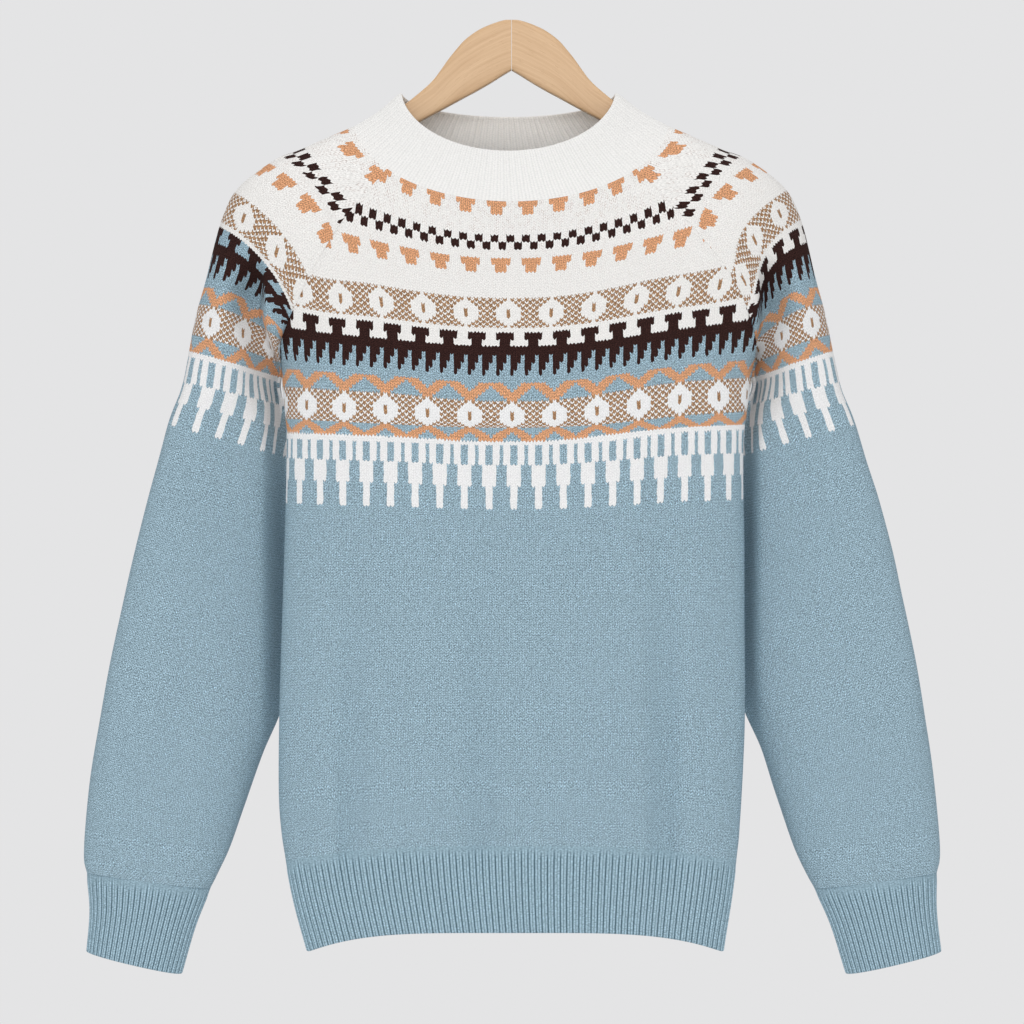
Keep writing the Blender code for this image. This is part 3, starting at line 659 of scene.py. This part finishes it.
def dressed(grid, troughs, face, seed):
    """The grid pressed in at its troughs and a little uneven: three long waves across and down, and
    puckers 20 mm apart by the hem's joint."""
    grid = pressed_in(grid, troughs, face)
    x, z = grid[..., 0], grid[..., 2]
    wave = 0.45 * np.sin(x / 31 + seed) * np.sin(z / 47 + 2 * seed)
    wave += 0.35 * np.sin(x / 17 + z / 61 + 3 * seed) + 0.25 * np.sin(x / 53 - z / 29 + seed)
    near_hem = np.exp(-(((z + 668) / 34) ** 2))
    pucker = np.sin(x / 3.3 + 1.3 * np.sin(x / 19 + seed)) * (0.6 + 0.4 * np.sin(x / 11 + seed))
    inside = np.clip((180 - np.abs(x)) / 30, 0, 1) * np.clip((-150 - z) / 60, 0, 1)
    grid[..., 1] += face * inside * (wave + 0.55 * near_hem * pucker)
    grid[..., 0] -= 2.2 * np.clip(x / 180, 0, 1) ** 2 * np.exp(-(((z + 632) / 38) ** 2))
    return grid


# The jumper hangs askew: its right-hand side stands out more, by this much at each drop, round a centre
ASKEW = table(
    "drop out centre",
    (120, 0, 120), (161, 4, 130), (197, 13, 155), (223, 15, 167), (249, 12, 180), (293, 8, 184),
    (352, 5.5, 184), (416, 4.8, 184), (480, 2.8, 184), (544, 1.3, 184), (590, 0, 184),
)


def askew(grid):
    """The grid's right-hand side moved out: a bell 40 mm wide round the table's centre."""
    x, drop = grid[..., 0], -grid[..., 2]
    out, centre = (np.interp(drop, ASKEW["drop"], ASKEW[key]) for key in ("out", "centre"))
    shift = out * np.exp(-(((x - centre) / 40) ** 2)) * np.clip(x / 30, 0, 1)
    return grid + shift[..., None] * (1, 0, 0)


def seam_ridge(from_edge, chart_rows):
    """How far a panel's edge rises over its linked raglan seam: a bell 3 mm wide, gone below row 70."""
    return 1.3 * np.exp(-((from_edge / 3) ** 2)) * np.clip((70 - chart_rows[:, None]) / 8, 0, 1)


# How many rows further up the pattern lies on the left, in the middle and on the right of the front
FRONT_ROWS = table(
    "row left middle right",
    (0, 0.3, -0.4, 0.3), (6, 0.3, -0.4, 0.3), (14, 1.8, 0.2, 3.6), (17, 1.9, 0.2, 3.8),
    (27, 0.8, 0.25, 2.9), (45, 1.15, -0.1, 3.6), (60, 1.15, 0.3, 3.8), (76, 2, 0, 5),
    (94, 1.2, -0.4, 4), (110, 1.05, -0.6, 2.9), (150, 0, 0, 0),
)

# And how many rows further down it lies by each raglan seam and on its sleeve
SEAM_ROWS = table(
    "row left right",
    (20, 0, 0), (27, 0.9, 0.6), (40, 1.7, 0.8), (50, 1.9, 0.8), (57, 0.6, 0.5), (66, 0, 0),
)
# How far the chart's middle stands from the panel's, in stitches
OFF_MIDDLE = 0.17
PANEL_ROWS = 130
PANEL_COLUMNS = 180


def panel(name, troughs, seed):
    """A panel's wall: the right side's grid and UV, and the wrong side's grid WALL behind it."""
    face, middle = FACE[name], PANEL_COLUMNS // 2
    chart_rows = even_rows(TORSO["chart"][-1], PANEL_ROWS, YOKE["chart"][-1])
    grid = dressed(askew(panel_surface(name, chart_rows, PANEL_COLUMNS)), troughs, face, seed)
    run = run_along(grid, 1)
    uv = stitch_places(grid, chart_rows, run[:, middle : middle + 1], PANEL_STITCH, lead=-1.2)
    uv[..., 0] -= OFF_MIDDLE
    if name == "front":
        x, row = grid[..., 0], uv[..., 1].copy()
        shares = dict(left=smoothstep(-x, 15, 105), middle=1, right=smoothstep(x, 10, 150))
        for key, share in shares.items():
            uv[..., 1] += np.interp(row, FRONT_ROWS["row"], FRONT_ROWS[key]) * share
        for side, out in (("left", -x), ("right", x)):
            uv[..., 1] -= np.interp(uv[..., 1], SEAM_ROWS["row"], SEAM_ROWS[side]) * smoothstep(out, 105, 155)
    grid[..., 1] += face * seam_ridge(np.minimum(run, run[:, -1:] - run), chart_rows)
    inner = grid - WALL * normals_of(grid)
    made = shell(name + "_knit", grid, inner, uv, [right_side, wrong_side])
    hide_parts(name)
    return made


front = panel("front", FRONT_TROUGHS, 0.7)


# ---- The back ----
# The same panel in the same wools, knitted to shape with a higher neck. Its yoke bands lie
# flatter across the shoulders, and its raglan edges are linked to the sleeves too.

BACK_TROUGHS = table(
    "x half_width depth top foot lean",
    (-96, 16, 2.6, -400, -672, 0),
    (30, 14, 1.8, -450, -672, 0),
    (141, 13, 2.4, -430, -672, 0),
)
back = panel("back", BACK_TROUGHS, 2.9)


# ---- The sleeves ----
# Raglan sleeves knitted to shape in the same yarns, their caps over the hanger's arms and
# each closed by a linked seam under the arm. They hang a little behind the body.

SLEEVE_ROUND = 2.2
# A sleeve's ridge from neck to underarm, and how far its halves stand out on each side of it
CAP = table(
    "chart ridge_x ridge_y ridge_z arch front_swell back_swell bow",
    (0, NECK_SEAM["half_width"], 0, NECK_SEAM["side_z"], 1, 0, 0, -7),
    (17, 168.4, 0, -103.6, 1, 2, 2, 1),
    (27, 190, 0.5, -112.4, 1, 3, 3, 7),
    (40, 219.6, 1, -135.2, 1, 4, 4, 7.5),
    (53, 233.8, 2, -163.2, 1, 6, 8, 9),
    (71, 245.4, 3, -206.6, 0.8, 14, 17, 9.5),
    (84, 253.6, 4, -236, 0.4, 25, 28, 3),
    (96, 258.6, 5, -263, 0, 32, 36, 0),
)
# The outer and inner edges of its tube from underarm to cuff
ARM = table(
    "chart outer_x outer_y outer_z inner_x inner_y inner_z front_swell back_swell",
    (96, 258.6, 5, -263, 184, 9, -283.7, 32, 36),
    (100, 260.2, 5.5, -272, 187, 22, -292, 33.5, 33),
    (110, 265.5, 6, -295, 182.5, 32, -313, 33.5, 31),
    (124, 277, 7, -323.7, 174, 36.5, -352, 33, 30),
    (150, 290.6, 8, -376.7, 171, 37, -407, 33, 30),
    (185, 306.4, 10, -439.5, 172.5, 36.5, -473, 33, 31),
    (220, 322.5, 12, -509.5, 183, 32, -543, 33, 32),
    (245, 332.4, 14, -562.6, 201.4, 27, -589.8, 32, 32),
    (270, 339.6, 15, -605.4, 216.1, 23, -631.5, 31, 31),
    (292, 343.9, 15.5, -647.3, 227.7, 20, -664.5, 28, 28),
    (303, 344.7, 15.5, -670.6, 237.7, 18, -686.1, 25.5, 25.5),
    (309, 342.1, 15, -682.6, 242.8, 16, -695.6, 22.5, 22.5),
)


def to_ridge(columns):
    """Shares from a sleeve's edge to its ridge, half of these columns, closer at both ends."""
    return (1 - np.cos(math.pi * np.linspace(0, 1, columns // 2 + 1))) / 2


def sleeve_courses(front_edge, ridge, back_edge, swells, arch, bow, columns, roundness=SLEEVE_ROUND):
    """Courses from front edge over the ridge to back edge: straight halves with a bow in front view,
    whose depth runs from edge to ridge, arched or straight, plus a rounded bulge."""
    share = to_ridge(columns)
    halves = []
    for edge, swell in ((front_edge, -swells[0]), (back_edge, swells[1])):
        chord = [end - begin for end, begin in zip(ridge, edge)]
        span = np.hypot(chord[0], chord[2])
        bump_out = bow * 4 * share * (1 - share)
        from_ridge = arch * arc_height(share, SLEEVE_ROUND) + (1 - arch) * (1 - share)
        x = edge[0] + chord[0] * share - chord[2] / span * bump_out
        y = ridge[1] - chord[1] * from_ridge + swell * arc_height(2 * share - 1, roundness)
        z = edge[2] + chord[2] * share + chord[0] / span * bump_out
        halves.append(together(x, y, z))
    return np.concatenate([halves[0], halves[1][:, -2::-1]], axis=1)


def tube_courses(get, columns, roundness=SLEEVE_ROUND):
    """Courses of a sleeve or cuff tube: both halves run from its inner edge to its outer edge."""
    inner, outer = ([get[edge + axis] for axis in ("_x", "_y", "_z")] for edge in ("inner", "outer"))
    swells = (get["front_swell"], get["back_swell"])
    return sleeve_courses(inner, outer, inner, swells, 0, 0, columns, roundness)


def tucked(grid, at, start, reach):
    """The sleeve's front drawn back behind the body's side, towards the flat line between its edges.

    It is drawn back wholly at `start`, by nothing `reach` further out, and less and less down the arm.
    """
    half = grid.shape[1] // 2 + 1
    front = grid[:, :half]
    flat = front[:, :1, 1] + (front[:, -1:, 1] - front[:, :1, 1]) * to_ridge(grid.shape[1] - 1)
    rows = np.clip(at / 2, 0, 1) * np.clip((9.5 - at) / 2, 0, 1)
    near = smoothstep(start + reach - front[..., 0], 0, reach)
    grid = grid.copy()
    grid[:, :half, 1] += rows * near * (flat - front[..., 1])
    return grid


def sleeve_surface(chart_rows, columns, start, reach):
    """A right-hand sleeve at these chart rows: the cap, blended into the neck ring, then the tube."""
    on_cap = chart_rows <= CAP["chart"][-1]
    cap, at = at_rows(CAP, chart_rows[on_cap])
    seam = {key: smooth(values, at) for key, values in YOKE.items()}
    front, back = ([seam[key] for key in ("seam_x", edge + "_y", edge + "_z")] for edge in ("front", "back"))
    ridge = [cap["ridge_" + axis] for axis in "xyz"]
    swells = (cap["front_swell"], cap["back_swell"])
    grid = sleeve_courses(front, ridge, back, swells, cap["arch"], cap["bow"], columns)
    begin = math.sin(RAGLAN_TURN)
    turn = np.arcsin(begin + (1 - begin) * to_ridge(columns))
    neck = ring(np.concatenate([turn, math.pi - turn[-2::-1]]), **NECK_SEAM)
    grid += smoothstep(0.5 - at, 0, 0.5)[..., None] * (neck - grid[:1])
    arm, at = at_rows(ARM, chart_rows[~on_cap])
    # Its front lies flatter down the arm than over the underarm
    fuller = SLEEVE_ROUND + 0.6 * np.clip(at / 3, 0, 1)
    return np.concatenate([grid, tucked(tube_courses(arm, columns, fuller), at, start, reach)])


# Long soft folds down a sleeve: each one's wale, half width in stitches, depth, first and last row
SLEEVE_FOLDS = table(
    "wale half_width depth first last",
    (-16, 5, 1.6, 120, 300),
    (-28, 4, 1.2, 170, 309),
    (-7, 4, 0.9, 200, 309),
    (14, 6, 1.5, 130, 309),
    (30, 5, 1.3, 180, 300),
)
# The sleeves are dressed flat over the shoulders, so their stitches lie wider there, on the left most
RIGHT_STITCH = table(
    "chart width",
    (0, 4.15), (6, 4), (13, 3.4), (20, 3.25), (27, 3.3), (34, 3.1), (40, 2.8), (51, 2.75),
    (55, 2.6), (62, 2.6), (72, 2.65), (85, 2.72), (130, 2.8),
)
LEFT_STITCH = table(
    "chart width",
    (0, 4.15), (6, 4.15), (13, 3.85), (21, 3.85), (24, 3.6), (27, 3.55), (40, 3.45), (51, 3.45),
    (54, 2.95), (58, 2.85), (64, 2.85), (85, 2.72), (130, 2.8),
)
# Over the ridge the rows lie further down than at the seams, most at row 27, and by the neck the
# wales lean towards the seams
LAG = table(
    "row lag lean",
    (0, 1.2, -0.5), (3, 1.3, 0), (7, 1.5, 0.8), (17, 1.8, 0), (27, 4.9, 0), (34, 2.5, 0),
    (41, 0, 0),
)
SLEEVE_ROWS = 150
SLEEVE_COLUMNS = 120


def sleeve_wall(side, stitch, start, reach):
    """A sleeve's outer grid, as a right-hand one, and its UV in stitches from the ridge."""
    chart_rows = even_rows(ARM["chart"][-1], SLEEVE_ROWS, CAP["chart"][-1])
    grid = sleeve_surface(chart_rows, SLEEVE_COLUMNS, start, reach)
    if side == "right":
        grid += (askew(grid) - grid) * smoothstep(grid[..., 2:], -350, -290)
    # A fold hangs before the underarm: outside a nearly upright line the front falls back 30 mm
    half = SLEEVE_COLUMNS // 2
    x, drop = grid[:, : half + 1, 0], -grid[:, : half + 1, 2]
    line = 197 + (start - 194) * smoothstep(drop, 235, 285)
    behind = smoothstep(x - line, -3, 4) * (1 - smoothstep(x - line, 5, 36))
    grid[:, : half + 1, 1] += 30 * behind * smoothstep(drop, 186, 222) * (1 - smoothstep(drop, 275, 325))
    run = run_along(grid, 1)
    u, v = np.moveaxis(stitch_places(grid, chart_rows, run[:, half : half + 1], stitch, lead=1.5), -1, 0)
    by_ridge = 1 - (1 - smoothstep(1 - np.abs(u) / np.abs(u[:, :1]), 0, 1)) ** 2
    lean = np.interp(v, LAG["row"], LAG["lean"]) * np.clip(np.abs(u) / 10 - 0.3, 0, 1) * np.sign(u)
    u = u - 1.6 * lean
    v = v - np.interp(v, LAG["row"], LAG["lag"]) * by_ridge
    v = v - np.interp(v, SEAM_ROWS["row"], SEAM_ROWS[side])
    grid[:, : half + 1, 1] -= seam_ridge(run, chart_rows)[:, : half + 1]
    grid[:, half:, 1] += seam_ridge(run[:, -1:] - run, chart_rows)[:, half:]
    pressed = np.zeros(grid.shape[:2])
    for wale_at, half_width, depth, first, last in zip(*SLEEVE_FOLDS.values()):
        down = np.clip((v - first) / (last - first), 0, 1)
        pressed += depth * np.sin(down * math.pi) ** 2 * np.exp(-(((u - wale_at) / half_width) ** 2))
    return grid - pressed[..., None] * normals_of(grid), together(u, v)


right_sleeve_wool = knit_material("wool of the right sleeve", turned=1.0)
left_sleeve_wool = knit_material("wool of the left sleeve", notch=1.0, turned=1.0)
# The sleeves don't hang quite alike: how far out each one's outer and inner edges lie, by the drop
RIGHT_HANG = table(
    "drop outer inner",
    (100, 0, 0), (160, -2.4, 0), (200, -3.6, 0), (240, -3.6, 0), (275, -2, 0), (320, -1.5, 0),
    (350, -0.4, 0), (380, 2, 0), (425, 2.8, 0), (460, 1.9, 0), (520, 1.2, 0), (575, 0.3, 2.6),
    (615, -0.6, 1.2), (680, -0.3, 0.8), (715, 0.6, 2.4), (765, 3.6, 2.6),
)
LEFT_HANG = table(
    "drop outer inner",
    (100, 0, 0), (160, -1.6, 0), (216, -1.9, 0), (264, -0.9, 0), (335, -1.9, 0), (380, -0.8, 0),
    (440, -0.8, 0), (480, -1.3, 0), (600, -1.3, 0), (664, -1.3, 0), (682, -0.8, 0), (715, -2.2, 0),
    (765, -0.6, 0),
)


def hung(grid, hang):
    """The grid moved sideways by its table, from the inner edge's shift to the outer edge's across it."""
    x, drop = grid[..., 0], -grid[..., 2]
    at = np.interp(drop, hang["drop"], np.arange(len(hang["drop"])))
    across = np.clip((x - 195) / 90, 0, 1)
    shift = smooth(hang["inner"], at) * (1 - across) + smooth(hang["outer"], at) * across
    return grid + shift[..., None] * (1, 0, 0)


for side, sign, order, hang, material, stitch, start, reach in (
    ("right", 1, slice(None), RIGHT_HANG, right_sleeve_wool, RIGHT_STITCH, 187, 12),
    ("left", -1, slice(None, None, -1), LEFT_HANG, left_sleeve_wool, LEFT_STITCH, 182, 18),
):
    grid, uv = sleeve_wall(side, stitch, start, reach)
    walls = (grid, grid - WALL * normals_of(grid))
    outer, inner = (hung(wall, hang)[:, order] * (sign, 1, 1) for wall in walls)
    uv = uv[:, order] * (sign, 1)
    sleeve = shell("sleeve_knit_" + side, outer, inner, uv, [material, wrong_side])
    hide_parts("sleeve_" + side)


# ---- The neck band ----
# A mock neck in 1x1 rib of the ivory wool, knitted as a strip, folded double and linked on
# all round the neck. It stands a little hollow, and its rim rolls in.

COLLAR_WALL = 2.4
COLLAR_RIBS = 108
RIB_COLUMNS = 8
NECK_RIM = dict(half_width=87.0, front=48.0, back=46.0, side_z=-58.0, front_drop=51.2, back_drop=15.5)
COLLAR_HOLLOW = 2.0
RIM_ROLL = 0.6
RIM_ASIDE = -2.5
COLLAR_ROW = 2.03


def rib_profile(columns, ribs, crest, groove, fullness=2.6):
    """Offsets across ribs: each a rounded ridge, 1 - |2t - 1| to a power, between narrow grooves."""
    t = np.mod(np.arange(columns) / (columns - 1) * ribs, 1)
    return groove + (crest - groove) * (1 - np.abs(2 * t - 1) ** fullness)


def rib_material(name, yarn, heather, depth, groove, middle, joint=None):
    """1x1 rib: a column of V stitches on each ridge, with painted shade in the grooves and, by the share
    `middle`, along its middle. Below a joint the lines start unevenly, over up to `joint` rows."""
    material, tree, shader, place = plain_material(name, 0.9)
    calc = partial(math_node, tree)
    stitch = place_group(tree, knit, Place=place)
    parts = tree.nodes.new("ShaderNodeSeparateXYZ")
    tree.links.new(place, parts.inputs[0])
    offset = calc("SUBTRACT", calc("FRACT", calc("ADD", parts.outputs[0], 0.5)), 0.5)
    aside = calc("MULTIPLY", calc("ABSOLUTE", offset), 2.0)
    in_groove = calc("MULTIPLY_ADD", aside, 2.6, -1.6, clamp=True)
    at_middle = calc("MULTIPLY_ADD", aside, -4.0, 1.0, clamp=True)
    painted_shade = calc("MULTIPLY_ADD", at_middle, middle * groove, calc("MULTIPLY", in_groove, groove))
    if joint:
        # Above its lines the rib takes this share of painted shade all over, darker as the plain cloth is
        plain = 0.24
        uneven = tree.nodes.new("ShaderNodeTexWhiteNoise")
        uneven.noise_dimensions = "1D"
        tree.links.new(calc("FLOOR", parts.outputs[0]), uneven.inputs["W"])
        late = calc("MULTIPLY_ADD", uneven.outputs["Value"], -joint, parts.outputs[1])
        begun = calc("MULTIPLY", late, 0.35, clamp=True)
        painted_shade = calc("MULTIPLY_ADD", begun, calc("SUBTRACT", painted_shade, plain), plain)
    # The painted shade's colour: the yarn at a fifth to a quarter of its brightness
    painted_groove_shade = tuple(value * share for value, share in zip(yarn, (0.18, 0.25, 0.27)))
    lit = spun(tree, place, stitch, yarn, heather, depth)
    tree.links.new(mix_colours(tree, painted_shade, lit, painted_groove_shade), shader.inputs["Base Color"])
    tree.links.new(bump(tree, stitch["Height"], 0.0003), shader.inputs["Normal"])
    return material


ivory_rib = rib_material("ivory rib", (0.895, 0.885, 0.865), 0.06, 0.20, 0.08, 0.9)
# The band's inside is the same ivory yarn painted paler: painted light where the neck's hollow gets less lamp
# light
ivory_rib_painted_lighter = rib_material("ivory rib, inside, painted lighter", (0.93, 0.915, 0.885), 0.06, 0.20, 0.09, 0.9)
columns = COLLAR_RIBS * RIB_COLUMNS + 1
turns = np.linspace(0, 2 * math.pi, 4 * columns)
length = run_along(ring(turns, **NECK_SEAM))
turns = np.interp(np.linspace(0, length[-1], columns), length, turns)
seam, rim = ring(turns, **NECK_SEAM), ring(turns, **NECK_RIM) + (RIM_ASIDE, 0, 0)
# Courses by their share of the way from the seam up to the rim, from the rim down to just under the seam
share = np.concatenate([np.linspace(1, 0.9, 4), np.linspace(0.84, 0.08, 14), [0.03, -0.006]])[:, None, None]
band = seam + (rim - seam) * share
way = np.roll(band[:, :-1], -1, axis=1) - np.roll(band[:, :-1], 1, axis=1)
normals = unit(np.cross(seam - rim, np.concatenate([way, way[:, :1]], axis=1)))
# The band stands hollow between seam and rim, and rolls in over the last tenth, by its rim
roll = RIM_ROLL * np.maximum(share - 0.9, 0) / 0.1
band -= normals * (COLLAR_HOLLOW * np.sin(math.pi * share) + roll)
fade = np.clip(np.minimum(share / 0.05, (1.06 - share) / 0.1), 0, 1)
ribs = rib_profile(columns, COLLAR_RIBS, 0.16, -0.16)
uneven = 1 + 0.35 * np.sin(np.arange(columns) / columns * 2 * math.pi * 23) * np.sin(turns * 5)
inner_ribs = rib_profile(columns, COLLAR_RIBS, 0.28, -0.26, 2.0) * uneven
outer = band + normals * ribs[:, None] * fade
inner = band - normals * (COLLAR_WALL + inner_ribs[:, None] * fade)
down = (1 - share[..., 0]) * np.linalg.norm(seam - rim, axis=-1).mean() / COLLAR_ROW
uv = together(np.arange(columns) / RIB_COLUMNS + 0.5, down)
collar = shell("collar_rib", outer, inner, uv, [ivory_rib, ivory_rib_painted_lighter], closed=True, top_lip=4)
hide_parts("collar")


# ---- The hem ribs ----
# 1x1 rib in the blue wool, knitted down from each panel, which it draws in a little, and cast
# off round the foot.

RIB_WALL = 1.8
HEM_RIBS = 75
HEM_ROWS = 22
HEM = table(
    "chart side_x side_y side_z mid_front_y mid_front_z mid_back_y mid_back_z round droop",
    (0, 180.6, 0, -672, -42.5, -657.1, 41, -658, 2.3, 3),
    (17, 174.4, 0, -706, -39.5, -691.2, 38.5, -692, 2.3, 3.5),
    (34, 165.5, 0, -744, -36.5, -725.7, 36, -727, 2.3, 4),
)


def even_steps(courses, count):
    """Courses whose points are spaced evenly again along their own length."""
    spaced = []
    for course in courses:
        length = run_along(course)
        at = np.linspace(0, length[-1], count + 1)
        spaced.append(together(*(np.interp(at, length, line) for line in course.T)))
    return np.array(spaced)


def ribbed(grid, normals, count, rows):
    """Both walls and the UV of a length in `count` ribs: they start unevenly just below the joint."""
    columns = grid.shape[1]
    down = (rows / rows[-1])[:, None]
    start = 0.03 + 0.03 * np.sin(np.arange(columns) / columns * count * 1.7)
    fade = np.clip((down - start) / 0.10, 0.15, 1)
    ribs = rib_profile(columns, count, 0.55, -0.50) * fade
    inner_ribs = rib_profile(columns, count, 0.5, -0.4) * fade
    uv = together(np.arange(columns) / RIB_COLUMNS + 0.5, rows[:, None])
    return grid + normals * ribs[..., None], grid - normals * (RIB_WALL + inner_ribs[..., None]), uv


blue_rib = rib_material("blue rib", (0.367, 0.515, 0.604), 0.42, 0.6, 1.0, 0.75, joint=3.0)
columns = HEM_RIBS * RIB_COLUMNS
rows = np.linspace(0, HEM["chart"][-1], HEM_ROWS)
down = (rows / rows[-1])[:, None]
get, _ = at_rows(HEM, rows)
for name, troughs, seed in (("front", FRONT_TROUGHS, 0.7), ("back", BACK_TROUGHS, 2.9)):
    grid = length_courses(get, name, 4 * columns)
    # It hangs a little fuller at the right-hand corner of its foot
    grid[..., 0] *= 1 + np.where(grid[..., 0] > 0, 0.024, -0.012) * down**2
    grid = even_steps(grid, columns)
    # The panel's troughs run on into it and fade out
    grid += (1 - down[..., None]) ** 1.6 * (dressed(grid, troughs, FACE[name], seed) - grid)
    normals = unit(np.cross((0, 0, -1), np.gradient(grid, axis=1)))
    outer, inner, uv = ribbed(grid, normals, HEM_RIBS, rows)
    hem = shell("hem_knit_" + name, outer, inner, uv, [blue_rib] * 2, foot_lip=4)
    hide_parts("hem_rib_" + name)


# ---- The cuffs ----
# 1x1 rib in the blue wool, knitted down from each sleeve, cast off at the wrist and closed by
# the sleeve's own seam.

CUFF_RIBS = 49
CUFF_ROWS = 22
CUFF = table(
    "chart outer_x outer_y outer_z inner_x inner_y inner_z front_swell back_swell",
    (0, 342.1, 15, -682.6, 242.8, 16, -695.6, 22.5, 22.5),
    (16.5, 341, 14.5, -714, 255.5, 15, -726.1, 21, 21),
    (33, 342.6, 14, -745.9, 265.6, 14, -763.8, 20, 20),
)
rows = np.linspace(0, CUFF["chart"][-1], CUFF_ROWS)
columns = CUFF_RIBS * RIB_COLUMNS
get, _ = at_rows(CUFF, rows)
grid = even_steps(tube_courses(get, 4 * columns), columns)
*walls, uv = ribbed(grid, normals_of(grid, closed=True), CUFF_RIBS, rows)
for side, sign, order, hang in (("right", 1, 1, RIGHT_HANG), ("left", -1, -1, LEFT_HANG)):
    outer, inner = (hung(wall, hang)[:, ::order] * (sign, 1, 1) for wall in walls)
    uv_turned = uv[:, ::order]
    cuff = shell("cuff_knit_" + side, outer, inner, uv_turned, [blue_rib] * 2, closed=True, foot_lip=4)
    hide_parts("cuff_" + side)


# ---- Floor, light and camera ----
# A pale floor below the jumper and an even pale room. Soft light comes from broad windows on
# all sides and from the roof, and a long lens looks on from the front.

mesh = bpy.data.meshes.new("floor")
# Half its width and its level, in metres
FLOOR_HALF = 1.2
FLOOR_LEVEL = -1.0
square = ((-1, -1), (1, -1), (1, 1), (-1, 1))
corners = [(FLOOR_HALF * x, FLOOR_HALF * y, FLOOR_LEVEL) for x, y in square]
mesh.from_pydata(corners, [], [(0, 1, 2, 3)])
floor_paint, tree, shader, place = plain_material("pale floor", 0.8)
cloud = noise(tree, place, 3.0, 1.0)
paint = mix_colours(tree, cloud, (0.90, 0.90, 0.905), (0.93, 0.93, 0.935))
tree.links.new(paint, shader.inputs["Base Color"])
mesh.materials.append(floor_paint)
mesh.uv_layers.new(name="place")
floor = bpy.data.objects.new("floor", mesh)
put_in_scene(floor)

world = bpy.data.worlds.new("pale room")
bpy.context.scene.world = world
world.use_nodes = True
# The backdrop is seen at its own paleness, and sheds a little less light than that on the cloth
tree = world.node_tree
seen = tree.nodes.new("ShaderNodeLightPath").outputs["Is Camera Ray"]
room = mix_colours(tree, seen, (0.350, 0.350, 0.354), (0.776, 0.776, 0.783))
tree.links.new(room, tree.nodes["Background"].inputs["Color"])
bpy.context.scene.view_settings.view_transform = "Standard"

# Each lamp is a broad rectangle that shines at the jumper's middle: its place, size and power
for name, at, size, power in (
    ("broad window", (-0.15, -3.4, 0.5), (3.2, 2.2), 59),
    ("left window", (-2.9, -1.2, 0.35), (1.8, 2.2), 19),
    ("right window", (2.9, -1.2, 0.35), (1.8, 2.2), 19),
    ("far window", (0, 3.4, 0.5), (3.2, 2.2), 25),
    ("roof light", (0, 0.3, 2.6), (3.0, 3.0), 28.5),
):
    lamp = bpy.data.lights.new(name, "AREA")
    lamp.shape = "RECTANGLE"
    lamp.size, lamp.size_y = size
    lamp.energy = power
    holder = bpy.data.objects.new(name, lamp)
    holder.location = at
    holder.rotation_euler = (Vector((0, 0, -0.4)) - Vector(at)).to_track_quat("-Z", "Y").to_euler()
    put_in_scene(holder)

camera_data = bpy.data.cameras.new("camera")
camera_data.lens = 131.8
camera_data.sensor_width = 36.0
camera = bpy.data.objects.new("camera", camera_data)
camera.location = (0.0004, -3.0, -0.3936)
camera.rotation_euler = (math.pi / 2, 0, 0)
put_in_scene(camera)
bpy.context.scene.camera = camera
